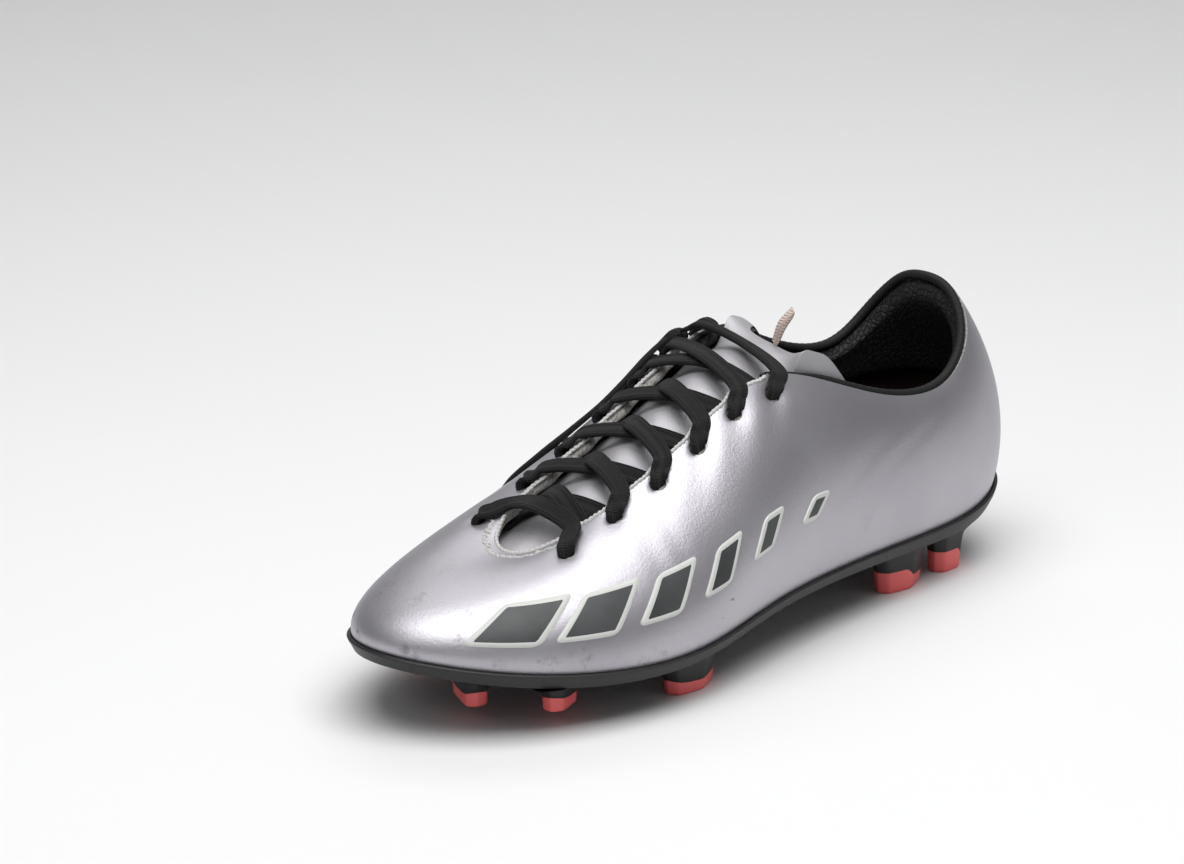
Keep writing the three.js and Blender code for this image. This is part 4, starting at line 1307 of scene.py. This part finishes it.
def edge_stitching():
    """Overcast stitches, leaning a little, along both sides of the throat and round its foot."""
    shape = Shape()
    rng = np.random.default_rng(4)
    for side in (1, -1):
        fine = np.linspace(THROAT_TURN, PIPING_END, 4000)
        fine = fine if side > 0 else 1 - fine
        line = skin(fine, below_edge(fine, 0.75), -0.12)
        share = evenly(line, 1.75)
        p = np.interp(share, np.linspace(0, 1, len(fine)), fine)
        centres = skin(p, below_edge(p, 0.75), -0.12)
        ways = np.gradient(centres, axis=0)
        lean = up_wall(p) * (0.34 + 0.12 * rng.standard_normal(len(p)))[:, None]
        stitches(shape, centres, unit(ways) + lean, outward(p, 0.98), 2.5, 0.66)
    return shape


edge_stitching().piece("throat_stitching", [WHITE_THREAD], slot="upper_skin")


def vamp_stitching():
    """Ragged tacking below the bar: loose ends of thread that fan from an arc round the throat's foot."""
    shape = Shape()
    rng = np.random.default_rng(11)
    p = np.linspace(0.432, 0.568, 64)
    drop = 4.6 + 0.5 * rng.standard_normal(len(p))
    centres = skin(p, below_edge(p, drop), -0.1)
    ways = unit(np.gradient(centres, axis=0)) * 0.7 + up_wall(p) * rng.uniform(-1.1, 1.1, len(p))[:, None]
    stitches(shape, centres, ways, outward(p, 0.95), 1.9, 0.3)
    return shape


vamp_stitching().piece("vamp_tacking", [WHITE_THREAD], slot="upper_skin")

# ---- The collar ----

PAD_FRONT = LINING_FACE + 2 * SEAM


def collar_pad_sections():
    """The padded roll: a superellipse in depth and q whose size follows a sine along the collar."""
    a = np.linspace(0, 1, 220)[:, None]
    p = lerp(-COLLAR_END + 0.003, COLLAR_END - 0.003, a)
    turn = 2 * math.pi * np.arange(44)[None] / 44
    size = np.sin(math.pi * a)
    low = 0.86 - 0.36 * size
    q = lerp(low, 0.985, 0.5 + 0.5 * power(np.sin(turn), 0.75))
    swell = lerp(0.7, HEEL_PAD, size**0.8)
    full = 0.5 - 0.5 * power(np.cos(turn), 0.7)
    crease = 0.1 * np.sin(p * 2100 + 3 * np.sin(p * 90)) * smooth(q, 0.6, 0.9) * (full > 0.5)
    top = smooth(q, 0.945, 0.985)
    depth = lerp(PAD_FRONT, 1.7, top) + swell * full + crease * size
    return inside(p, q, depth) + up_wall(p) * (1.3 * top * size)[..., None]


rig.padded(
    Shape().loft(collar_pad_sections()).piece("collar_padding", [COLLAR], "collar_pad", "collar_padding"),
    fill=0.6,
)


PIPING_ROWS = 460


def piping_sections():
    """A round cord along the collar's edge, thinner where it runs on beside the last eyelets."""
    p = np.linspace(-PIPING_END, PIPING_END, PIPING_ROWS)
    thinning = smooth(np.abs(p), COLLAR_END - COLLAR_BLEND, COLLAR_END + COLLAR_BLEND)
    size = lerp(PIPING_RADIUS, PIPING_THIN, thinning)
    centre = inside(p, 1, LINING_FACE / 2) + up_wall(p) * (size + 0.35)[:, None]
    wide = unit(on_last(p, 1) - inside(p, 1, 1))
    tangent = unit(np.gradient(centre, axis=0))
    wide = unit(wide - dot(wide, tangent) * tangent)
    tall = np.cross(tangent, wide)
    turn = 2 * math.pi * np.arange(20) / 20
    end = np.minimum(np.arange(PIPING_ROWS), np.arange(PIPING_ROWS)[::-1])
    size = size * (1 + 0.03 * np.sin(p * 4200)) * np.clip(end / 4 + 0.4, 0, 1)
    ring = 1.1 * np.cos(turn)[:, None] * wide[:, None] + np.sin(turn)[:, None] * tall[:, None]
    return centre[:, None] + size[:, None, None] * ring


Shape().loft(piping_sections()).piece("collar_cord", [PIPING], "collar_piping", "piping")

# ---- The tongue ----

TONGUE_MIDDLE_END, WING_END = 1.13, 1.3
WING_AT, WING_WIDTH = 0.32, 0.1
LATERAL_FLARE, MEDIAL_FLARE = 16, 11


def wings(v):
    """1 at the middle of each top corner's wing, falling off as a bell across the tongue."""
    return [np.exp(-(((v - at) / WING_WIDTH) ** 2)) for at in (WING_AT, 1 - WING_AT)]


def tongue_sheet(start, back, depth, rows, columns):
    """The tongue from start up to an end that lies further back at the wings, which flare up.

    It swells softly between the crossings. The even net is read off at each column's own places.
    """
    u = np.linspace(start, WING_END, rows)
    v = np.linspace(0, 1, columns)
    points = tongue_at(u, v, depth)
    k = along_throat(lerp(THROAT_FOOT, THROAT_TOP, u))[:, None]
    swollen = (0.5 + 0.5 * np.cos(2 * math.pi * k)) * smooth(k, -0.4, 0.2) * (1 - smooth(k, 5, 5.6))
    points = points + RISE * (1.2 * swollen * np.sin(math.pi * v)[None] ** 2)[..., None]
    lateral, medial = wings(v)
    raised = smooth(u, 1.02, 1.13) * (1 - smooth(u, 1.17, WING_END))
    flare = raised[:, None] * (LATERAL_FLARE * lateral + MEDIAL_FLARE * medial)
    points = points + np.array([0.15, 0, 1]) * flare[..., None]
    end = lerp(WING_END, TONGUE_MIDDLE_END, smooth(np.minimum(v, 1 - v), 0.31, 0.42)) - back
    at = np.linspace(0, 1, rows)[:, None] * ((end - start) / (WING_END - start)) * (rows - 1)
    low = np.minimum(at.astype(int), rows - 2)
    column = np.arange(columns)[None]
    return lerp(points[low, column], points[low + 1, column], (at - low)[..., None])


def tongue_layer(start, back, outer, inner, rows, columns):
    """The sheet's two faces, drawn together round its edge so that it ends thin."""
    v = np.linspace(0, 1, columns)
    s = np.linspace(0, 1, rows)
    side = np.clip(np.minimum(v, 1 - v) * 16, 0.1, 1)[None] ** 0.5
    full = side * np.clip((1 - s) * 25, 0.15, 1)[:, None] ** 0.5
    middle = tongue_sheet(start, back, (outer + inner) / 2, rows, columns)
    faces = (tongue_sheet(start, back, depth, rows, columns) for depth in (outer, inner))
    return [middle + (face - middle) * full[..., None] for face in faces]


Shape().shell(*tongue_layer(0.03, 0, 0, TONGUE_WALL, 150, 100)).piece(
    "tongue_skin", [TONGUE], "tongue", "tongue_skin", "tongue"
)
PAD_TOP = TONGUE_WALL + 0.9
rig.padded(
    Shape()
    .shell(*tongue_layer(0.08, 0.02, PAD_TOP, PAD_TOP + 2.4, 100, 60))
    .piece("tongue_padding", [TONGUE_CLOTH], "tongue_pad", "tongue_padding", "tongue"),
    fill=0.4,
)


ROOT_AT = 0.07


def tongue_root(depth):
    """The tongue's sewn-in root: from a line across its foot to an arc under the vamp's edge."""
    v = np.linspace(0.12, 0.88, 60)
    s = np.linspace(0, 1, 14)[:, None, None]
    foot = lerp(THROAT_FOOT, THROAT_TOP, ROOT_AT)
    p = lerp(foot, 1 - foot, v)
    back = tongue_at(ROOT_AT, v, depth)[0]
    front = inside(p, below_edge(p, 6), 4.6 + depth)
    swell = np.sin(math.pi * s) * np.sin(math.pi * v)[None, :, None]
    return lerp(back[None], front[None], s) + RISE * 0.8 * swell


Shape().shell(tongue_root(-0.4), tongue_root(0.5)).piece("tongue_root", [TONGUE], slot="tongue_skin")

TAB_AT, TAB_TALL, TAB_WIDE, TAB_LEAN = 1.14, 12.5, 7.5, 0.5


def tab_sections():
    """A folded tape: superellipses up its height, fullest in the middle and closed at the top."""
    foot = tongue_at(TAB_AT, 0.5)[0, 0] + [0, 0, 3 * SEAM]
    side = unit(np.array([0.68, 0.73, 0]))
    lean = np.array([-side[1], side[0], 0])
    rise = lean * math.sin(TAB_LEAN) + np.array([0, 0, math.cos(TAB_LEAN)])
    off = np.cross(side, rise)
    share = np.linspace(0, 1, 24)
    thick = 0.55 + 0.55 * np.sin(math.pi * np.minimum(1, share * 1.08)) ** 0.7
    thick = thick * np.clip((1 - share) * 9, 0.25, 1) ** 0.5
    turn = 2 * math.pi * np.arange(32) / 32
    wide = power(np.cos(turn), 0.35) * TAB_WIDE / 2
    bow = 0.7 * np.sin(math.pi * share) ** 2
    centre = foot + rise * (share * TAB_TALL)[:, None] + off * bow[:, None]
    deep = thick[:, None] * power(np.sin(turn), 0.6)[None]
    return centre[:, None] + side * wide[None, :, None] + off * deep[..., None]


Shape().loft(tab_sections()).piece("twill_tab", [TAB], "tongue_tab", "tab", "tongue")

# ---- The foot bed ----


def seat_point(p, s, inset):
    """The seat's outline drawn in by an inset, and shrunk to the foot's centreline as s goes to 0."""

    def edge(at):
        step = FINE_STEP
        before, here, after = (station_at(at + k * step)[..., :2] for k in (-1, 0, 1))
        way = after - before
        out = unit(np.stack([way[..., 1], -way[..., 0]], -1))
        return here + out * inset

    p, s = np.broadcast_arrays(np.asarray(p, float), np.asarray(s, float))
    here = edge(p)
    middle = (edge(1 - p) + here) / 2
    middle = middle * [0.82, 1]
    return lerp(middle, here, s[..., None])


def bed_layer(bottom, top):
    """A layer from the centreline out over its rounded edge and back, at heights over the seat."""
    p = np.arange(240)[:, None] / 240
    round_over = np.linspace(0, math.pi, 7)
    half = (top - bottom) / 2
    s_edge = 1 - 0.03 * (1 - np.sin(round_over))
    heights = (top + bottom) / 2 + half * np.cos(round_over)
    s = np.concatenate([np.linspace(0, 0.94, 12), s_edge, np.linspace(0.94, 0, 12)])[None]
    z = np.concatenate([np.full(12, top), heights, np.full(12, bottom)])[None]
    flat = seat_point(p, s, BED_INSET)
    height = seat_height(flat[..., 0]) + z
    return np.concatenate([flat, height[..., None]], -1)


def add_bed(name, sections, finish, node, slot):
    """The layer's rows meet along the centreline, where their doubled points are welded."""
    shape = Shape()
    rows, columns = sections.shape[:2]
    quads, _ = net(rows, columns, True, False)
    flat = np.stack([sections[..., 0], sections[..., 1]], -1).reshape(-1, 2)
    shape.add(sections, quads.tolist(), list(flat[quads]))
    return shape.piece(name, [finish], node, slot, "sockliner", weld=True)


BOARD_TOP = 2.25
FOAM_BOTTOM = BOARD_TOP + 0.45
FOAM_THICKNESS, COVER_THICKNESS = 3, 0.8
COVER_BOTTOM = FOAM_BOTTOM + FOAM_THICKNESS + 0.45
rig.padded(
    add_bed(
        "sockliner_pad",
        bed_layer(FOAM_BOTTOM, FOAM_BOTTOM + FOAM_THICKNESS),
        FOAM,
        "sockliner_foam",
        "foam",
    ),
    fill=0.5,
)
add_bed(
    "sockliner_cloth",
    bed_layer(COVER_BOTTOM, COVER_BOTTOM + COVER_THICKNESS),
    COVER,
    "sockliner_cover",
    "cover_cloth",
)

# ---- The plate and its studs ----

# Name, x, y, the way the blade points in degrees, its length, and how high its foot stands.
STUDS = [
    ("toe_lateral", 106, 6, 64, 19, 6),
    ("toe_medial", 85, -31, -40, 22, 5),
    ("front_lateral", 87, 25, 34, 25, 5),
    ("front_medial", 62, -36, -12, 22, 2),
    ("ball_lateral", 41, 36, 8, 25, 0),
    ("ball_medial", 36, -29, -14, 24, 0),
    ("ball_centre", 62, -2, 0, 17, 2),
    ("heel_front_lateral", -76, 23, 6, 25, 0),
    ("heel_front_medial", -76, -19, -6, 25, 0),
    ("heel_rear_lateral", -103, 21, 22, 20, 0),
    ("heel_rear_medial", -103, -17, -22, 20, 0),
]
BLADE = np.array(
    [[-0.5, -0.1], [-0.4, -0.42], [0.4, -0.42], [0.5, -0.1], [0.42, 0.24], [0, 0.5], [-0.42, 0.24]]
)


def rounded(outline, cuts=(0.1, 0.25, 0.25)):
    """Corner cutting: each side is replaced by its inner part, so that the corners round off."""
    for cut in cuts:
        after = np.roll(outline, -1, 0)
        outline = np.stack([lerp(outline, after, cut), lerp(outline, after, 1 - cut)], 1).reshape(-1, 2)
    return outline


BLADE_OUTLINE = rounded(BLADE)


def blade_ring(stud, z, grow, inset=0.0):
    """The blade's outline at heights z over its foot, grown by a share and drawn in."""
    _, x, y, turn, length, lift = stud
    side = np.sign(y + 5) or 1
    angle = math.radians(turn)
    shrink = grow - inset / 5
    along = BLADE_OUTLINE[:, 0] * length * shrink
    across = BLADE_OUTLINE[:, 1] * STUD_WIDTH * shrink * side
    return np.stack(
        [
            x + along * math.cos(angle) - across * math.sin(angle),
            y + along * math.sin(angle) + across * math.cos(angle),
            np.broadcast_to(np.asarray(z, float) + lift, along.shape),
        ],
        -1,
    )


def stud_grow(z):
    return lerp(STUD_TAPER, 1, z / STUD_HEIGHT)


def tip_border(stud):
    """Height of the coral's upper border: a low even line, or at the heel a step up to its front."""
    if stud[0].startswith("heel"):
        return STUD_TIP_HEIGHT - 0.6 + 3 * smooth(BLADE_OUTLINE[:, 0], -0.1, 0.1)
    return STUD_TIP_HEIGHT - 1.3 + 1.4 * np.abs(2 * BLADE_OUTLINE[:, 0]) ** 3


def stud_tip(stud):
    """Rings up the tip: a bevelled foot, straight tapering sides and the stepped border."""
    border = tip_border(stud)
    rows = [blade_ring(stud, z, stud_grow(z), cut) for z, cut in ((0, 0.42), (0.18, 0.16), (0.5, 0))]
    for share in (0.2, 0.45, 0.7, 0.9, 1):
        z = lerp(0.5, border, share)
        rows.append(blade_ring(stud, z, stud_grow(float(z.mean()))))
    return np.array(rows)


def stud_stem(stud):
    """Rings up the stem: from the stepped border, flaring in a fillet into the plate."""
    border = tip_border(stud) + 0.02
    top = float(seat_height(stud[1])) - PLATE_THICKNESS - stud[5]
    rows = [blade_ring(stud, border, stud_grow(float(border.mean())) * 0.985)]
    for share in np.linspace(0.12, 1, 9):
        z = lerp(border, top + 0.9, share)
        flare = 1 + 0.16 * share + 0.5 * smooth(share, 0.45, 1) ** 2
        rows.append(blade_ring(stud, z, stud_grow(float(np.mean(z))) * flare))
    return np.array(rows)


for stud in STUDS:
    Shape().loft(stud_tip(stud)).piece("coral_" + stud[0], [TIP], "stud_tip_" + stud[0], "stud_tip")


def rim_share(p):
    """How high the plate's rim laps up the wall: a squared cosine, most at toe and heel."""
    ends = np.cos(2 * math.pi * p) ** 2
    return RIM_HEIGHT * (0.35 + 0.65 * ends) / (0.8 * UPPER_HEIGHT)


def plate_sections():
    """The plate's profile at each place: over the seat, up inside the rim, round it and back under."""
    p = np.arange(480)[:, None] / 480

    def flat(s, inset, height):
        s, height = np.atleast_1d(s)[None], np.atleast_1d(height)[None]
        point = seat_point(p, s, inset)
        return np.concatenate([point, (seat_height(point[..., 0]) + height)[..., None]], -1)

    def lap(share, out):
        return inside(p, rim_share(p) * np.atleast_1d(share)[None], -np.atleast_1d(out)[None])

    turn = np.linspace(0, math.pi, 9)[1:-1]
    half = PLATE_RIM / 2
    top_round = lap(1 + 0.14 * np.sin(turn), SEAM + half - half * np.cos(turn))
    under = np.linspace(0.985, 0, 26)
    foot = flat(1, 0, -PLATE_THICKNESS)
    side = lap(0.4, SEAM + PLATE_RIM)
    hem = flat(1, -PLATE_RIM - SEAM, -SEAM)
    bend = np.linspace(0, 1, 9)[None, :, None]
    corner = (1 - bend) ** 2 * side + 2 * bend * (1 - bend) * hem + bend**2 * foot
    bottom = flat(under, 0, -PLATE_THICKNESS)
    x, y = bottom[..., 0], bottom[..., 1]
    spine = np.exp(-(((y - 2 * np.sin(x / 60)) / 3.2) ** 2))
    spine = spine * smooth(-x, -30, 10) * (1 - smooth(-x, 95, 115))
    rails = np.exp(-(((np.abs(y - 2) - 14) / 1.6) ** 2))
    rails = rails * smooth(-x, -10, 15) * (1 - smooth(-x, 55, 70))
    ribs = (0.5 + 0.5 * np.cos(x * 2 * math.pi / 9)) ** 4
    ribs = ribs * smooth(x, 5, 30) * smooth(0.97 - under, 0, 0.12)[None]
    bottom[..., 2] -= 1.3 * spine + 1.0 * rails + 0.5 * ribs
    return np.concatenate(
        [
            flat(np.array([0, 0.5, 1]), 0, -SEAM),
            lap(np.array([0, 0.35, 0.7, 1]), SEAM),
            top_round,
            lap(np.array([1, 0.8, 0.6]), SEAM + PLATE_RIM),
            corner,
            bottom,
        ],
        1,
    )


def moulded_plate():
    sections = plate_sections()
    quads, _ = net(*sections.shape[:2], True, False)
    shape = Shape().add(sections, quads.tolist())
    for stud in STUDS:
        shape.loft(stud_stem(stud))
    return shape


moulded_plate().piece("moulded_plate", [PLATE], "outsole_plate", "plate", weld=True)

# ---- The side panels ----

PANELS = 6
PANEL_ROUND = 2.6


def panel(k):
    """A slanted block on the last with rounded corners, and the distance to its edges as UV."""
    share = k / (PANELS - 1)
    start = lerp(0.452, 0.236, share)
    width = lerp(0.037, 0.014, share)
    low, high = lerp(0.25, 0.34, share), lerp(0.58, 0.45, share)
    slant = lerp(0.012, 0.01, share)
    count = 26
    a, b = np.meshgrid(np.linspace(-1, 1, count), np.linspace(-1, 1, count), indexing="ij")

    def place(a, b):
        return start - width * (a + 1) / 2 - slant * b / 2, lerp(low, high, (b + 1) / 2)

    corners = on_last(*place(np.array([-1.0, 1, 0, 0]), np.array([0.0, 0, -1, 1])))
    half_a = np.linalg.norm(corners[0] - corners[1]) / 2
    half_b = np.linalg.norm(corners[2] - corners[3]) / 2
    x, y = a * half_a, b * half_b
    core_x, core_y = half_a - PANEL_ROUND, half_b - PANEL_ROUND
    square = np.maximum(np.abs(x) / half_a, np.abs(y) / half_b)
    over_x, over_y = np.maximum(np.abs(x) - core_x, 0), np.maximum(np.abs(y) - core_y, 0)
    reach = np.hypot(over_x, over_y)
    limit = np.maximum(over_x, over_y)
    pull = np.where(reach > 1e-9, limit / np.maximum(reach, 1e-9), 1)
    x = np.sign(x) * (np.abs(x) - over_x * (1 - pull))
    y = np.sign(y) * (np.abs(y) - over_y * (1 - pull))
    edge = np.minimum(half_a - np.abs(a * half_a), half_b - np.abs(b * half_b))
    round_edge = PANEL_ROUND - np.hypot(
        np.maximum(np.abs(x) - core_x, 0), np.maximum(np.abs(y) - core_y, 0)
    )
    edge = np.where((over_x > 0) & (over_y > 0), round_edge, edge)
    p, q = place(x / half_a, y / half_b)
    film = np.where(square > 0.999, 0.1, FILM_WALL)
    outer = skin(p, q, -0.04 - film)
    inner = skin(p, q, 0.12)
    return Shape().shell(outer, inner, np.stack([edge, np.full_like(edge, 9)], -1))


for k in range(PANELS):
    panel(k).piece(f"film_block_{k + 1}", [FILM], f"side_panel_{k + 1}", "side_film")

# ---- CAD pieces that stay ----

for node in ("insole_board", "heel_counter", "toe_puff"):
    dress(node, BOARD)

# ---- Floor and light ----


def area_light(name, place, aim, size, power_watts):
    light = bpy.data.lights.new(name, "AREA")
    light.shape = "RECTANGLE"
    light.size, light.size_y = size
    light.energy = power_watts
    made = bpy.data.objects.new(name, light)
    made.location = place
    made.rotation_euler = (Vector(aim) - Vector(place)).to_track_quat("-Z", "Y").to_euler()
    bpy.context.scene.collection.objects.link(made)


def studio_floor():
    """A wide floor that curves up behind: a circle's quarter between two flat stretches."""
    run = np.array([-3.0, 1.4, 1.8, 2.1, 2.3, 2.4, 2.4])
    rise = np.array([0, 0, 0.04, 0.16, 0.4, 0.8, 3.0])
    back = -np.array([away.x, away.y])
    back = back / np.linalg.norm(back)
    side = np.array([-back[1], back[0]])
    points = [[*(back * r + side * s), z] for s in (-5, -2, 0, 2, 5) for r, z in zip(run, rise)]
    quads, _ = net(5, len(run))
    mesh = bpy.data.meshes.new("floor")
    mesh.from_pydata(points, [], quads[:, ::-1].tolist())
    mesh.polygons.foreach_set("use_smooth", np.ones(len(quads), bool))
    f = Finish("floor_paper", Roughness=0.6, Specular_IOR_Level=0.35)
    f.set("Base Color", f.mix((0.80, 0.80, 0.80), (0.83, 0.83, 0.835), f.noise(3, 2)))
    f.bump(f.noise(350, 3), 0.00005)
    mesh.materials.append(f.material)
    floor = bpy.data.objects.new("floor", mesh)
    bpy.context.scene.collection.objects.link(floor)
    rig.stage(floor)


studio_floor()
world = bpy.data.worlds.new("studio")
world.use_nodes = True
world.node_tree.nodes["Background"].inputs["Color"].default_value = (0.95, 0.96, 1, 1)
world.node_tree.nodes["Background"].inputs["Strength"].default_value = 0.16
bpy.context.scene.world = world
bpy.context.scene.view_settings.view_transform = "Standard"
area_light("top_soft_box", (0.15, 0.22, 1.3), (0.03, 0.03, 0), (1.45, 1.15), 21.5)
area_light("front_soft_box", (1.3, 0.1, 1.1), (0, 0, 0.04), (0.8, 0.5), 1.5)
area_light("side_strip", (-0.6, 1.4, 0.9), (0, 0, 0.04), (0.4, 1.0), 0.5)
area_light("back_wash", (-1.0, -0.95, 1.5), (-0.8, -0.75, 0), (1.6, 0.7), 7)

json.dump(
    {
        "cad": [list(map(float, corner)) for corner in cad_bounds],
        "visual": [list(map(float, corner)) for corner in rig.bounds()],
    },
    open("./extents.json", "w"),
)
